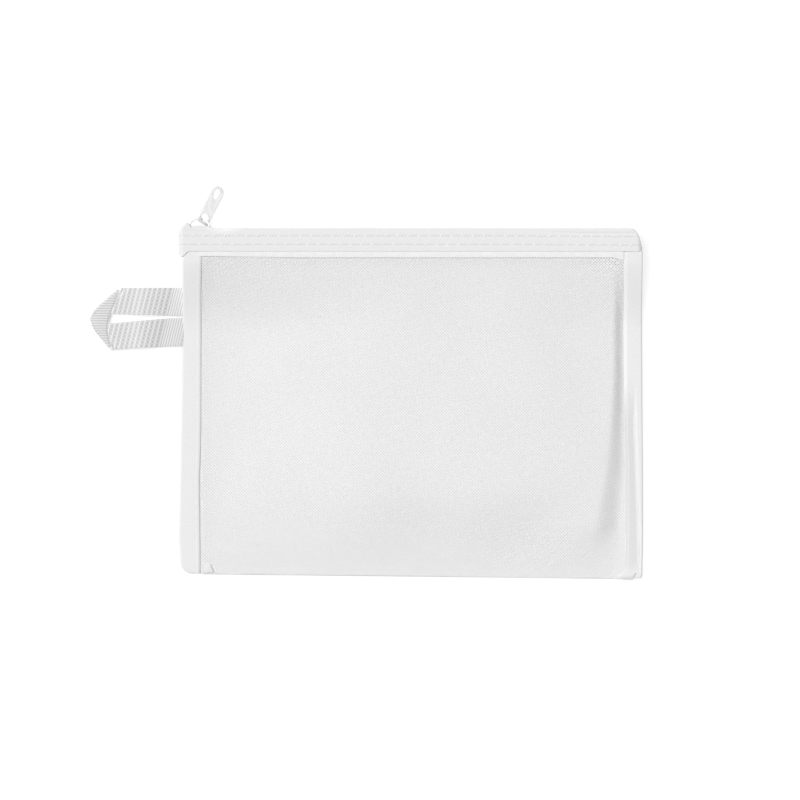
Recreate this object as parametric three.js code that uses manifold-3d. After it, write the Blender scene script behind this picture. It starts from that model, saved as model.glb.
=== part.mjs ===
// A white mesh zip pouch for papers: a folded mesh body, bound side seams, a coil zip
// with a slider and a pull tab across the top, and a folded webbing loop on the left.
//
// Millimetres. The pouch lies on its back: +X to the right, +Y towards the zip, +Z up
// from the table. The origin is the middle of the body, on the table.

import * as THREE from 'three';
import { mergeVertices } from 'three/addons/utils/BufferGeometryUtils.js';
import Module from 'manifold-3d';

const wasm = await Module();
wasm.setup();

// Sizes of the whole pouch
const bodyWidth = 237.5;
const bodyHeight = 180;

// Cloth, thread and the spaces between sewn layers
const meshThickness = 0.3;
const bindingThickness = 0.5;
const tapeThickness = 0.5;
const threadThickness = 0.25;
const threadWidth = 0.5;
const layerGap = 0.1;
const panelGap = 0.2;
const threadGap = 0.02;
const runningGap = 0.3;

// Mesh body
const crownHeight = 7.6;
const foldHeight = 1.6;
const sideRun = 45;
const bottomRun = 45;
const topRun = 30;
const backRampRun = 6;
const meshCells = 14;
const meshCornerRows = 3;
const meshSideRows = 10;
const meshFoldSteps = 3;
const meshColumnSpread = 0.35;

// Side bindings
const bindingWidth = 10.3;
const bindingFoldChamfer = 0.4;
const leftCornerRadius = 7;
const rightCornerRadius = 3;
const bindingStitchInset = 1.6;

// Zip
const tapeDrop = 10;
const tapeBendRadius = 1.2;
const tapeSlot = 2.6;
const tapeWrapRadius = 2.5;
const leftEndProud = 0.9;
const rightEndProud = 0.4;
const coilHeight = 1.6;
const coilHalfWidth = 2.4;
const coilReach = 0.45;
const coilSpine = 0.8;
const coilPitch = 1.3;
const toothThickness = 0.5;
const upperRowDrop = 1.8;
const rowSpacing = 4.7;
const endCornerRun = 7.2;
const endCornerDrop = 12;
const startCornerRadius = 2.6;
const endElbowAcross = 0.4;
const endElbowDown = 0.22;
const endWrapSteps = 5;
const endWrapOverlap = 0.5;

// Slider
const sliderLength = 11.5;
const sliderWidth = 7.8;
const sliderTailWidth = 6.9;
const sliderPlate = 0.9;
const sliderCornerRadius = 1;
const sliderParkInset = 3.75;
const flangeLength = 7;
const postLength = 3;
const postWidth = 2;
const postInset = 0.6;
const postCrestShare = 0.35;
const bridgeHeight = 4.3;
const bridgeLength = 11;
const bridgeStrapWidth = 1.1;
const bridgeStrapThickness = 0.9;

// Pull tab
const pullLength = 20.5;
const pullWidth = 7.8;
const pullThickness = 0.8;
const pullBarRadius = 0.65;
const pullCornerRadius = 1.1;
const pullLegWidth = 1.4;
const pullEyeLength = 4.8;
const pullEyeCorner = 2;
const pullHoleWidth = 4.3;
const pullHoleLength = 5.8;
const pullHoleInset = 4.2;
const pullBarOffset = 1.75;
const pullBarDrop = 0.72;
const pullLean = 32;
const pullTwist = 46;
const pullPitch = 8;

// Hanging loop
const webbingWidth = 14.7;
const webbingThickness = 1.1;
const loopReach = 47;
const loopUpperLegDrop = 37.8;
const loopRootLength = 6;
const loopRootSlit = 1;
const loopUpperAngle = 1.5;
const loopLowerAngle = 6;
const loopUpperFold = 42;
const loopLowerFold = 52;
const loopTipBlunt = 3.9;
const loopTipDepth = 10.5;
const loopSelvedgeSlant = 0.7;
const loopLift = 0.25;
const roundSides = 12;

// Places worked out from the sizes above
const halfWidth = bodyWidth / 2;
const topY = bodyHeight / 2;
const bottomY = -bodyHeight / 2;
const trimLift = threadThickness + 2.5 * threadGap;
const zipHalfThickness = sliderWidth / 2 + runningGap + tapeThickness;
const zipCentreZ = trimLift + zipHalfThickness;
const tapeY = topY - coilHeight - threadGap;
const tapeEdgeY = tapeY - tapeDrop;
const bindingTopY = tapeEdgeY - runningGap;
const sliderTopPlateY = topY + panelGap;
const sliderBackY = tapeY - tapeThickness - panelGap - sliderPlate;
const meshTopY = sliderBackY - runningGap;
const backEdgeZ = trimLift + tapeThickness + layerGap;
const seamFrontZ = backEdgeZ + 2 * meshThickness + panelGap;
const zipFrontZ = zipCentreZ + zipHalfThickness - tapeThickness - layerGap;
const seamInnerX = halfWidth - bindingWidth;
const panelEndY = bottomY + foldHeight / 2;
const sliderStartX = -halfWidth + sliderParkInset;
const coilStartX = sliderStartX + postInset + postLength + panelGap;
const coilEndX = halfWidth - endCornerRun;

// Mixing helpers
const clamp01 = t => Math.min(1, Math.max(0, t));
const smooth = t => clamp01(t) ** 2 * (3 - 2 * clamp01(t));
const mix = (a, b, t) => a + (b - a) * t;
const radians = degrees => degrees * Math.PI / 180;

// Turns a closed triangle mesh the right way out
function facingOut(positions, triangles) {
  const point = i => new THREE.Vector3().fromArray(positions, 3 * i);
  let volume = 0;
  for (let i = 0; i < triangles.length; i += 3) {
    const [a, b, c] = [point(triangles[i]), point(triangles[i + 1]), point(triangles[i + 2])];
    volume += a.dot(b.cross(c));
  }
  if (volume < 0) {
    triangles.reverse();
  }
  const geometry = new THREE.BufferGeometry();
  geometry.setAttribute('position', new THREE.Float32BufferAttribute(positions, 3));
  geometry.setIndex(triangles);
  geometry.computeVertexNormals();
  return geometry;
}

// Closes two matching grids of points, an outer and an inner skin, into one thick sheet
function thickSheet(outer, inner) {
  const rows = outer.length;
  const columns = outer[0].length;
  const positions = [...outer, ...inner].flat().flatMap(p => p.toArray());
  const triangles = [];
  const at = (skin, row, column) => (skin * rows + row) * columns + column;
  const quad = (a, b, c, d) => triangles.push(a, b, c, a, c, d);
  for (let r = 0; r < rows - 1; r++) {
    for (let c = 0; c < columns - 1; c++) {
      quad(at(0, r, c), at(0, r, c + 1), at(0, r + 1, c + 1), at(0, r + 1, c));
      quad(at(1, r, c), at(1, r + 1, c), at(1, r + 1, c + 1), at(1, r, c + 1));
    }
    quad(at(0, r, 0), at(0, r + 1, 0), at(1, r + 1, 0), at(1, r, 0));
    quad(at(0, r + 1, columns - 1), at(0, r, columns - 1), at(1, r, columns - 1), at(1, r + 1, columns - 1));
  }
  for (let c = 0; c < columns - 1; c++) {
    quad(at(0, 0, c + 1), at(0, 0, c), at(1, 0, c), at(1, 0, c + 1));
    quad(at(0, rows - 1, c), at(0, rows - 1, c + 1), at(1, rows - 1, c + 1), at(1, rows - 1, c));
  }
  return facingOut(positions, triangles);
}

// Skins a row of closed sections, each a list of [x, z] at its own y, and caps both ends
function loftAlongY(sections) {
  const count = sections[0].points.length;
  const positions = sections.flatMap(s => s.points.flatMap(([x, z]) => [x, s.y, z]));
  const triangles = [];
  for (let s = 0; s < sections.length - 1; s++) {
    for (let i = 0; i < count; i++) {
      const next = (i + 1) % count;
      const [a, b] = [s * count + i, s * count + next];
      triangles.push(a, b, b + count, a, b + count, a + count);
    }
  }
  const turn = THREE.ShapeUtils.isClockWise(sections[0].points.map(([x, z]) => new THREE.Vector2(x, z)));
  for (const [s, flip] of [[0, true], [sections.length - 1, false]]) {
    const outline = sections[s].points.map(([x, z]) => new THREE.Vector2(x, z));
    for (const [a, b, c] of THREE.ShapeUtils.triangulateShape(outline, [])) {
      const [p, q, r] = [a, b, c].map(i => s * count + i);
      const signed = THREE.ShapeUtils.area([a, b, c].map(i => outline[i])) > 0;
      const forward = (signed !== turn) === flip;
      triangles.push(...(forward ? [p, r, q] : [p, q, r]));
    }
  }
  return facingOut(positions, triangles);
}

// Booleans
function toManifold(geometry) {
  const plain = geometry.clone();
  plain.deleteAttribute('normal');
  plain.deleteAttribute('uv');
  const merged = mergeVertices(plain, 1e-5);
  const triVerts = new Uint32Array(merged.index.array);
  const vertProperties = new Float32Array(merged.attributes.position.array);
  return new wasm.Manifold(new wasm.Mesh({ numProp: 3, vertProperties, triVerts }));
}

function fromManifold(solid) {
  const mesh = solid.getMesh();
  const geometry = new THREE.BufferGeometry();
  geometry.setAttribute('position', new THREE.BufferAttribute(new Float32Array(mesh.vertProperties), 3));
  geometry.setIndex(new THREE.BufferAttribute(new Uint32Array(mesh.triVerts), 1));
  geometry.computeVertexNormals();
  return geometry;
}

const joined = (first, ...others) => fromManifold(
  others.reduce((sum, next) => sum.add(toManifold(next)), toManifold(first)));

const trimmed = (geometry, limits) => fromManifold(toManifold(geometry).intersect(toManifold(limits)));

// Extrusions of a flat outline
const extruded = (shape, depth, curveSegments = 8) =>
  new THREE.ExtrudeGeometry(shape, { depth, bevelEnabled: false, curveSegments });

// The outline's first axis runs along +Z, its second along +Y, and its depth along -X
const extrudedAlongX = (shape, depth, curveSegments) =>
  extruded(shape, depth, curveSegments).applyMatrix4(new THREE.Matrix4().makeBasis(
    new THREE.Vector3(0, 0, 1), new THREE.Vector3(0, 1, 0), new THREE.Vector3(-1, 0, 0)));

// The outline's first axis runs along +X, its second along +Z, and its depth along -Y
const extrudedAlongY = (shape, depth, curveSegments) =>
  extruded(shape, depth, curveSegments).applyMatrix4(new THREE.Matrix4().makeBasis(
    new THREE.Vector3(1, 0, 0), new THREE.Vector3(0, 0, 1), new THREE.Vector3(0, -1, 0)));

const polygon = points => new THREE.Shape(points.map(([x, y]) => new THREE.Vector2(x, y)));

function boxBetween(low, high) {
  const size = high.map((value, i) => value - low[i]);
  const middle = high.map((value, i) => (value + low[i]) / 2);
  return new THREE.BoxGeometry(...size).translate(...middle);
}

// Half width of the bound body at a height on the bag, with its rounded bottom corner
function boundHalfWidth(y, cornerRadius) {
  const intoCorner = Math.max(0, bottomY + cornerRadius - y);
  return halfWidth - cornerRadius + Math.sqrt(Math.max(0, cornerRadius ** 2 - intoCorner ** 2));
}

const cornerRadiusOf = side => (side < 0 ? leftCornerRadius : rightCornerRadius);

// Height of the outer face of the front panel
function frontHeight(x, y) {
  const rise = smooth((y - bindingTopY + topRun) / topRun);
  const side = mix(seamFrontZ, zipFrontZ, rise);
  const low = mix(foldHeight, crownHeight, smooth((y - panelEndY) / bottomRun));
  const middle = mix(low, zipFrontZ, rise);
  return mix(side, middle, smooth((seamInnerX - Math.abs(x)) / sideRun));
}

// Height of the outer face of the back panel, flat on the table away from the trims
function backHeight(x, y) {
  const side = smooth((Math.abs(x) - seamInnerX + backRampRun) / backRampRun);
  const top = smooth((y - bindingTopY + backRampRun) / backRampRun);
  return backEdgeZ * Math.max(side, top);
}

// Heights on the bag where the panels and the bindings both have a row of points
function seamRows() {
  const rows = [];
  const tallest = Math.max(leftCornerRadius, rightCornerRadius);
  const cornerTopY = bottomY + tallest;
  for (let i = 0; i < meshCornerRows; i++) {
    rows.push(mix(panelEndY, cornerTopY, i / meshCornerRows));
  }
  for (let i = 0; i <= meshSideRows; i++) {
    rows.push(mix(cornerTopY, bindingTopY, Math.sin(Math.PI / 2 * i / meshSideRows)));
  }
  return rows;
}

// Places across the bag for one row: two cells under each binding, finer steps near the seams
function panelColumns(y) {
  const columns = [];
  const inset = y > bindingTopY ? tapeWrapRadius : bindingThickness + panelGap;
  const left = -(boundHalfWidth(y, leftCornerRadius) - inset);
  const right = boundHalfWidth(y, rightCornerRadius) - inset;
  columns.push(left, mix(left, -seamInnerX, 0.5));
  for (let i = 0; i <= meshCells; i++) {
    const s = 2 * i / meshCells - 1;
    columns.push(seamInnerX * (s + meshColumnSpread * (s - s ** 3)));
  }
  columns.push(mix(right, seamInnerX, 0.5), right);
  return columns;
}

// Mesh body: one piece folded along the bottom, open at the top, its hems under the tapes
function meshBody() {
  const rows = [...seamRows(), tapeEdgeY, meshTopY];
  const outer = [];
  const inner = [];
  for (const y of [...rows].reverse()) {
    const columns = panelColumns(y);
    outer.push(columns.map(x => new THREE.Vector3(x, y, frontHeight(x, y))));
    inner.push(columns.map(x => new THREE.Vector3(x, y, frontHeight(x, y) - meshThickness)));
  }
  for (let i = 1; i < meshFoldSteps; i++) {
    const angle = Math.PI * i / meshFoldSteps;
    const arc = inset => panelColumns(panelEndY).map(x => {
      const [low, high] = [backHeight(x, panelEndY), frontHeight(x, panelEndY)];
      const radius = (high - low) / 2;
      const y = panelEndY - (radius - inset) * Math.sin(angle);
      return new THREE.Vector3(x, y, low + radius + (radius - inset) * Math.cos(angle));
    });
    outer.push(arc(0));
    inner.push(arc(meshThickness));
  }
  for (const y of rows) {
    const columns = panelColumns(y);
    outer.push(columns.map(x => new THREE.Vector3(x, y, backHeight(x, y))));
    inner.push(columns.map(x => new THREE.Vector3(x, y, backHeight(x, y) + meshThickness)));
  }
  return thickSheet(outer, inner);
}

// Side binding: a woven tape folded round the side seam, front and back
function sideBinding(side) {
  const sections = seamRows().map(y => {
    const outerX = side * boundHalfWidth(y, cornerRadiusOf(side));
    const innerX = side * seamInnerX;
    const wallX = outerX - side * bindingThickness;
    const cutX = outerX - side * bindingFoldChamfer;
    const low = trimLift;
    const high = frontHeight(innerX, y) + layerGap + bindingThickness;
    const points = [
      [innerX, low],
      [cutX, low],
      [outerX, low + bindingFoldChamfer],
      [outerX, high - bindingFoldChamfer],
      [cutX, high],
      [innerX, high],
      [innerX, high - bindingThickness],
      [wallX, high - bindingThickness],
      [wallX, low + bindingThickness],
      [innerX, low + bindingThickness],
    ];
    return { y, points };
  });
  return loftAlongY(sections);
}

// Outline, seen from the front, that rounds the two upper ends of the zip tapes
function zipEndOutline() {
  const left = -halfWidth - leftEndProud;
  const right = halfWidth + rightEndProud;
  const floorY = tapeEdgeY - endCornerDrop;
  const shape = new THREE.Shape();
  shape.moveTo(left, floorY);
  shape.lineTo(right, floorY);
  shape.lineTo(right, topY - endCornerDrop);
  const elbowX = right - endElbowAcross * endCornerRun;
  const elbowY = topY - endElbowDown * endCornerDrop;
  shape.quadraticCurveTo(elbowX, elbowY, right - endCornerRun, topY);
  shape.lineTo(left + startCornerRadius, topY);
  shape.lineTo(left + startCornerRadius, tapeY);
  shape.quadraticCurveTo(left, tapeY, left, tapeY - startCornerRadius);
  return extruded(shape, 2 * zipHalfThickness, 6).translate(0, 0, -zipHalfThickness / 2);
}

// Zip tape: a flat edge beside the coil, a bend, a leg down the panel, and both ends
// wrapped round the sides. side is 1 for the front tape and -1 for the back tape.
function zipTape(side) {
  const outer = zipHalfThickness;
  const inner = outer - tapeThickness;
  const bend = tapeBendRadius;
  const leftX = -halfWidth - leftEndProud;
  const rightX = halfWidth + rightEndProud;
  const profile = new THREE.Shape();
  profile.moveTo(tapeSlot / 2, tapeY);
  profile.lineTo(outer - bend, tapeY);
  profile.absarc(outer - bend, tapeY - bend, bend, Math.PI / 2, 0, true);
  profile.lineTo(outer, tapeEdgeY);
  profile.lineTo(inner, tapeEdgeY);
  profile.lineTo(inner, tapeY - bend);
  profile.absarc(outer - bend, tapeY - bend, bend - tapeThickness, 0, Math.PI / 2, false);
  profile.lineTo(tapeSlot / 2, tapeY - tapeThickness);
  const strip = extrudedAlongX(profile, rightX - leftX - 2 * tapeWrapRadius, 4);
  strip.translate(rightX - tapeWrapRadius, 0, 0);
  const pieces = [strip];
  for (const [endX, inward] of [[leftX, 1], [rightX, -1]]) {
    const turnX = endX + inward * tapeWrapRadius;
    const turnZ = outer - tapeWrapRadius;
    const arc = radius => Array.from({ length: endWrapSteps + 1 }, (_, i) => {
      const angle = Math.PI / 2 * i / endWrapSteps;
      return [turnX - inward * radius * Math.sin(angle), turnZ + radius * Math.cos(angle)];
    });
    const points = [
      [turnX + inward * endWrapOverlap, outer],
      ...arc(tapeWrapRadius),
      [endX, panelGap / 2],
      [endX + inward * tapeThickness, panelGap / 2],
      ...arc(tapeWrapRadius - tapeThickness).reverse(),
      [turnX + inward * endWrapOverlap, inner],
    ];
    pieces.push(extrudedAlongY(polygon(points), tapeDrop - bend).translate(0, tapeY - bend, 0));
  }
  const tape = trimmed(joined(...pieces), zipEndOutline());
  if (side < 0) {
    tape.scale(1, 1, -1);
    const index = Array.from(tape.index.array).reverse();
    tape.setIndex(index);
    tape.computeVertexNormals();
  }
  return tape.translate(0, 0, zipCentreZ);
}

// Coil half: a spine sewn on the tape, and teeth that reach across the middle
function zipCoil(side) {
  const teeth = Math.floor((coilEndX - coilStartX - coilPitch / 2) / coilPitch);
  const shift = side > 0 ? 0 : coilPitch / 2;
  const spineZ = coilHalfWidth - coilSpine;
  const points = [[coilEndX, coilHalfWidth], [coilStartX, coilHalfWidth], [coilStartX, spineZ]];
  for (let i = 0; i < teeth; i++) {
    const x = coilStartX + shift + i * coilPitch + (coilPitch - toothThickness) / 4;
    points.push([x, spineZ], [x, -coilReach], [x + toothThickness, -coilReach], [x + toothThickness, spineZ]);
  }
  points.push([coilEndX, spineZ]);
  const outline = points.map(([x, z]) => [x, side * z]);
  const comb = extrudedAlongY(polygon(outline), coilHeight);
  return comb.translate(0, tapeY + threadGap + coilHeight, zipCentreZ);
}

// Slider: two plates joined by a wedge post, side flanges, and a bridge for the pull tab
function sliderBody() {
  const plate = new THREE.Shape();
  const [w, t, r] = [sliderWidth / 2, sliderTailWidth / 2, sliderCornerRadius];
  plate.moveTo(r, -w);
  plate.lineTo(sliderLength - r, -t);
  plate.quadraticCurveTo(sliderLength, -t, sliderLength, -t + r);
  plate.lineTo(sliderLength, t - r);
  plate.quadraticCurveTo(sliderLength, t, sliderLength - r, t);
  plate.lineTo(r, w);
  plate.quadraticCurveTo(0, w, 0, w - r);
  plate.lineTo(0, -w + r);
  plate.quadraticCurveTo(0, -w, r, -w);
  const top = extrudedAlongY(plate, sliderPlate, 3).translate(0, sliderTopPlateY + sliderPlate, 0);
  const back = extrudedAlongY(plate, sliderPlate, 3).translate(0, sliderBackY + sliderPlate, 0);
  const wedge = polygon([
    [postInset, 0],
    [postInset + postLength * postCrestShare, -postWidth / 2],
    [postInset + postLength, 0],
    [postInset + postLength * postCrestShare, postWidth / 2],
  ]);
  const postHeight = sliderTopPlateY - sliderBackY + sliderPlate / 2;
  const post = extrudedAlongY(wedge, postHeight).translate(0, sliderBackY + sliderPlate / 4 + postHeight, 0);
  const flangeBottomY = tapeY + panelGap;
  const flangeInner = coilHalfWidth + runningGap;
  const flangeStartX = sliderLength - flangeLength - sliderCornerRadius;
  const flanges = [1, -1].map(side => {
    const edgeAt = x => mix(sliderWidth, sliderTailWidth, (x - r) / (sliderLength - 2 * r)) / 2;
    const [x0, x1] = [flangeStartX, flangeStartX + flangeLength];
    const outline = [
      [x0, side * edgeAt(x0)],
      [x1, side * edgeAt(x1)],
      [x1, side * flangeInner],
      [x0, side * flangeInner],
    ];
    const height = sliderTopPlateY - flangeBottomY + sliderPlate / 2;
    return extrudedAlongY(polygon(outline), height).translate(0, flangeBottomY + height, 0);
  });
  const baseY = sliderTopPlateY + sliderPlate;
  const middleX = sliderLength / 2;
  const sink = sliderPlate / 2;
  const arch = new THREE.Shape();
  const reach = bridgeLength / 2;
  const strap = bridgeStrapThickness;
  arch.moveTo(middleX + reach, baseY - sink);
  arch.lineTo(middleX + reach, baseY);
  arch.absellipse(middleX, baseY, reach, bridgeHeight, 0, Math.PI, false, 0);
  arch.lineTo(middleX - reach, baseY - sink);
  arch.lineTo(middleX - reach + strap, baseY - sink);
  arch.lineTo(middleX - reach + strap, baseY);
  arch.absellipse(middleX, baseY, reach - strap, bridgeHeight - strap, Math.PI, 0, true, 0);
  arch.lineTo(middleX + reach - strap, baseY - sink);
  const bridge = extruded(arch, bridgeStrapWidth, 10).translate(0, 0, -bridgeStrapWidth / 2);
  return joined(top, back, post, ...flanges, bridge).translate(sliderStartX, 0, zipCentreZ);
}

// Pull tab, its bar along local Z and its length along local Y, with the bar at the origin
function pullTab() {
  const [half, barHalf] = [pullWidth / 2, pullBarRadius / 2];
  const corner = pullCornerRadius;
  const outline = new THREE.Shape();
  outline.moveTo(corner - half, -barHalf);
  outline.lineTo(half - corner, -barHalf);
  outline.quadraticCurveTo(half, -barHalf, half, corner);
  outline.lineTo(half, pullLength - half);
  outline.absarc(0, pullLength - half, half, 0, Math.PI, false);
  outline.lineTo(-half, corner);
  outline.quadraticCurveTo(-half, -barHalf, corner - half, -barHalf);
  const eyeHalf = half - pullLegWidth;
  const eye = new THREE.Path();
  eye.moveTo(-eyeHalf, barHalf);
  eye.lineTo(eyeHalf, barHalf);
  eye.lineTo(eyeHalf, pullEyeLength - pullEyeCorner);
  eye.quadraticCurveTo(eyeHalf, pullEyeLength, eyeHalf - pullEyeCorner, pullEyeLength);
  eye.lineTo(pullEyeCorner - eyeHalf, pullEyeLength);
  eye.quadraticCurveTo(-eyeHalf, pullEyeLength, -eyeHalf, pullEyeLength - pullEyeCorner);
  const hole = new THREE.Path();
  hole.absellipse(0, pullLength - pullHoleInset, pullHoleWidth / 2, pullHoleLength / 2, 0, 2 * Math.PI, false, 0);
  outline.holes.push(eye, hole);
  const plate = extruded(outline, pullThickness, 10).translate(0, 0, -pullThickness / 2);
  const barLength = pullWidth - pullCornerRadius;
  const bar = new THREE.CylinderGeometry(pullBarRadius, pullBarRadius, barLength, roundSides).rotateZ(Math.PI / 2);
  return joined(plate, bar).rotateY(-Math.PI / 2);
}

// Hanging loop: one strip of webbing folded twice on the slant, so its tip lies on its legs.
// Both legs leave the seam side by side, and the slit between them widens towards the tip.
function hangingLoop() {
  const rootX = -halfWidth - runningGap - webbingThickness / 2;
  const creaseX = rootX - loopRootLength;
  const tipX = -halfWidth - loopReach;
  const upperRise = Math.tan(radians(loopUpperAngle));
  const lowerFall = Math.tan(radians(loopLowerAngle));
  const upperSlope = Math.tan(radians(loopUpperFold));
  const lowerSlope = Math.tan(radians(loopLowerFold));
  const upperEdge = (rootY, x) => [x, rootY + upperRise * (rootX - x)];
  const lowerEdge = (rootY, x) => [x, rootY - lowerFall * Math.max(0, creaseX - x)];
  const upperTopY = topY - loopUpperLegDrop + webbingWidth / 2;
  const upperBottomY = upperTopY - webbingWidth;
  const lowerTopY = upperBottomY - loopRootSlit;
  const lowerBottomY = lowerTopY - webbingWidth;
  const bluntTop = upperEdge(upperBottomY, tipX);
  const bluntBottom = [tipX, bluntTop[1] - loopTipBlunt];
  const upperFoldX = tipX + webbingWidth / (upperSlope + upperRise);
  const meetsLowerFold = rootY =>
    tipX + (bluntBottom[1] - rootY + lowerFall * (creaseX - tipX)) / (lowerSlope + lowerFall);
  const upperFold = upperEdge(upperTopY, upperFoldX);
  const lowerFold = lowerEdge(lowerBottomY, meetsLowerFold(lowerBottomY));
  const upperLeg = [
    [rootX, upperTopY],
    upperFold,
    bluntTop,
    [rootX, upperBottomY],
  ];
  const lowerLeg = [
    [rootX, lowerTopY],
    [creaseX, lowerTopY],
    lowerEdge(lowerTopY, meetsLowerFold(lowerTopY)),
    lowerFold,
    [creaseX, lowerBottomY],
    [rootX, lowerBottomY],
  ];
  const tip = [
    upperFold,
    bluntTop,
    bluntBottom,
    lowerFold,
    [tipX + loopTipDepth, mix(lowerFold[1], bluntBottom[1], loopSelvedgeSlant)],
    [tipX + loopTipDepth, bluntBottom[1]],
  ];
  const centreZ = loopLift + webbingThickness / 2;
  const layer = points => extruded(polygon(points), webbingThickness).translate(0, 0, loopLift);
  const roundEnd = (low, high) => new THREE.CylinderGeometry(
    webbingThickness / 2, webbingThickness / 2, high - low, roundSides).translate(rootX, (low + high) / 2, centreZ);
  return joined(
    layer(upperLeg),
    layer(lowerLeg),
    layer(tip).translate(0, 0, webbingThickness - threadGap),
    roundEnd(upperBottomY, upperTopY),
    roundEnd(lowerBottomY, lowerTopY));
}

// Thread rows, each the band that one line of stitches covers
function tapeStitchRow(side, row) {
  const y = tapeY - upperRowDrop - row * rowSpacing;
  const faceZ = zipCentreZ + side * (zipHalfThickness + threadGap);
  const farZ = faceZ + side * threadThickness;
  const startX = -halfWidth + tapeWrapRadius;
  const endX = halfWidth - tapeWrapRadius - (row === 0 ? endCornerRun / 2 : 0);
  return boxBetween(
    [startX, y - threadWidth / 2, Math.min(faceZ, farZ)],
    [endX, y + threadWidth / 2, Math.max(faceZ, farZ)]);
}

// Binding thread: through the front leg of a binding, along its inner edge
function bindingStitchRow(side, face) {
  const [innerX, outerX] = [bindingStitchInset, bindingStitchInset + threadWidth]
    .map(inset => side * (seamInnerX + inset));
  const sections = seamRows().map(y => {
    const faceZ = face > 0
      ? frontHeight(halfWidth, y) + layerGap + bindingThickness + threadGap
      : trimLift - threadGap;
    const farZ = faceZ + face * threadThickness;
    return { y, points: [[innerX, faceZ], [outerX, faceZ], [outerX, farZ], [innerX, farZ]] };
  });
  return loftAlongY(sections);
}

// Materials: white polyester and nylon, and white-painted zinc
const finish = (color, roughness, metalness = 0) =>
  new THREE.MeshStandardMaterial({ color, roughness, metalness });

const finishes = {
  mesh: finish('#f1f1f2', 0.7),
  binding: finish('#efefef', 0.85),
  tape: finish('#f0f0f0', 0.85),
  coil: finish('#f4f4f4', 0.45),
  paint: finish('#efefef', 0.35, 0.1),
  webbing: finish('#ececec', 0.8),
  thread: finish('#f6f6f6', 0.6),
};

function named(name, geometry, material) {
  const mesh = new THREE.Mesh(geometry, material);
  mesh.name = name;
  return mesh;
}

// Pull tab in its place: its bar under the bridge, leaning right, turned and dropped
function placedPullTab() {
  const tab = named('pull_tab', pullTab(), finishes.paint);
  const turn = new THREE.Quaternion();
  turn.setFromAxisAngle(new THREE.Vector3(0, 0, 1), -radians(pullLean));
  turn.multiply(new THREE.Quaternion().setFromAxisAngle(new THREE.Vector3(0, 1, 0), -radians(pullTwist)));
  turn.multiply(new THREE.Quaternion().setFromAxisAngle(new THREE.Vector3(0, 0, 1), radians(pullPitch)));
  tab.quaternion.copy(turn);
  const barX = sliderStartX + sliderLength / 2 + pullBarOffset;
  const bridgeInnerY = sliderTopPlateY + sliderPlate + bridgeHeight - bridgeStrapThickness;
  const barY = bridgeInnerY - pullBarDrop - pullBarRadius;
  tab.position.set(barX, barY, zipCentreZ);
  return tab;
}

const pouch = new THREE.Group();
pouch.add(named('mesh_body', meshBody(), finishes.mesh));
pouch.add(named('binding_left', sideBinding(-1), finishes.binding));
pouch.add(named('binding_right', sideBinding(1), finishes.binding));
pouch.add(named('zip_tape_front', zipTape(1), finishes.tape));
pouch.add(named('zip_tape_back', zipTape(-1), finishes.tape));
pouch.add(named('zip_coil_front', zipCoil(1), finishes.coil));
pouch.add(named('zip_coil_back', zipCoil(-1), finishes.coil));
pouch.add(named('slider_body', sliderBody(), finishes.paint));
pouch.add(placedPullTab());
pouch.add(named('hanging_loop', hangingLoop(), finishes.webbing));
pouch.add(named('tape_thread_front_upper', tapeStitchRow(1, 0), finishes.thread));
pouch.add(named('tape_thread_front_lower', tapeStitchRow(1, 1), finishes.thread));
pouch.add(named('tape_thread_back_upper', tapeStitchRow(-1, 0), finishes.thread));
pouch.add(named('tape_thread_back_lower', tapeStitchRow(-1, 1), finishes.thread));
pouch.add(named('binding_thread_left_front', bindingStitchRow(-1, 1), finishes.thread));
pouch.add(named('binding_thread_left_back', bindingStitchRow(-1, -1), finishes.thread));
pouch.add(named('binding_thread_right_front', bindingStitchRow(1, 1), finishes.thread));
pouch.add(named('binding_thread_right_back', bindingStitchRow(1, -1), finishes.thread));

export default pouch;
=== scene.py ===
"""A white mesh zip pouch for papers, lying on its back.

The script dresses the packed frame of the pouch: a see-through net folded along the bottom, twill
bindings round its side seams, a coil zip with a slider and a pull tab, and a folded webbing loop.
It is laid out as an add-on, with one operator for each piece or group of like pieces.
"""

import math

import bmesh
import bpy
import numpy as np
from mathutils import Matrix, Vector


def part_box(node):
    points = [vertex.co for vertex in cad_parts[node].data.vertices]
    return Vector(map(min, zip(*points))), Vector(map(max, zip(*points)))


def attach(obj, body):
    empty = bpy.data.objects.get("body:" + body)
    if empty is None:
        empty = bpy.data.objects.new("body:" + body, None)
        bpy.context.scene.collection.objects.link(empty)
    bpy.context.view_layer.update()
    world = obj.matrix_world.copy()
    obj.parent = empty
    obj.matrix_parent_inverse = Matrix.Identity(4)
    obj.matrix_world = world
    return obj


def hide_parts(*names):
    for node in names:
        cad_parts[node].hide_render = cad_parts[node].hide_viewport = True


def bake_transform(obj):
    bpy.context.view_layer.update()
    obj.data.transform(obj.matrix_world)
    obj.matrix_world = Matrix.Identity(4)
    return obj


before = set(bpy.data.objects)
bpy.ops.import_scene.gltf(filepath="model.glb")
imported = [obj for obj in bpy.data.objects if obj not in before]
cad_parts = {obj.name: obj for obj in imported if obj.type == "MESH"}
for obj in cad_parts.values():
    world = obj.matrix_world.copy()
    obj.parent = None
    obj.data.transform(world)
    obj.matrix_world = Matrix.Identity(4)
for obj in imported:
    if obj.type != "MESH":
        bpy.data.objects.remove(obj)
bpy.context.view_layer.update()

bl_info = {
    "name": "Mesh Zip Pouch",
    "version": (1, 0, 0),
    "blender": (4, 5, 0),
    "location": "View3D > Sidebar > Pouch",
    "description": "Builds a white mesh zip pouch around its packed frame",
    "category": "Add Mesh",
}

MM = 0.001
BOXES = {name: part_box(name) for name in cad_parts}


def low(node):
    """Lowest corner of a node of the frame."""
    return BOXES[node][0]


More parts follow.
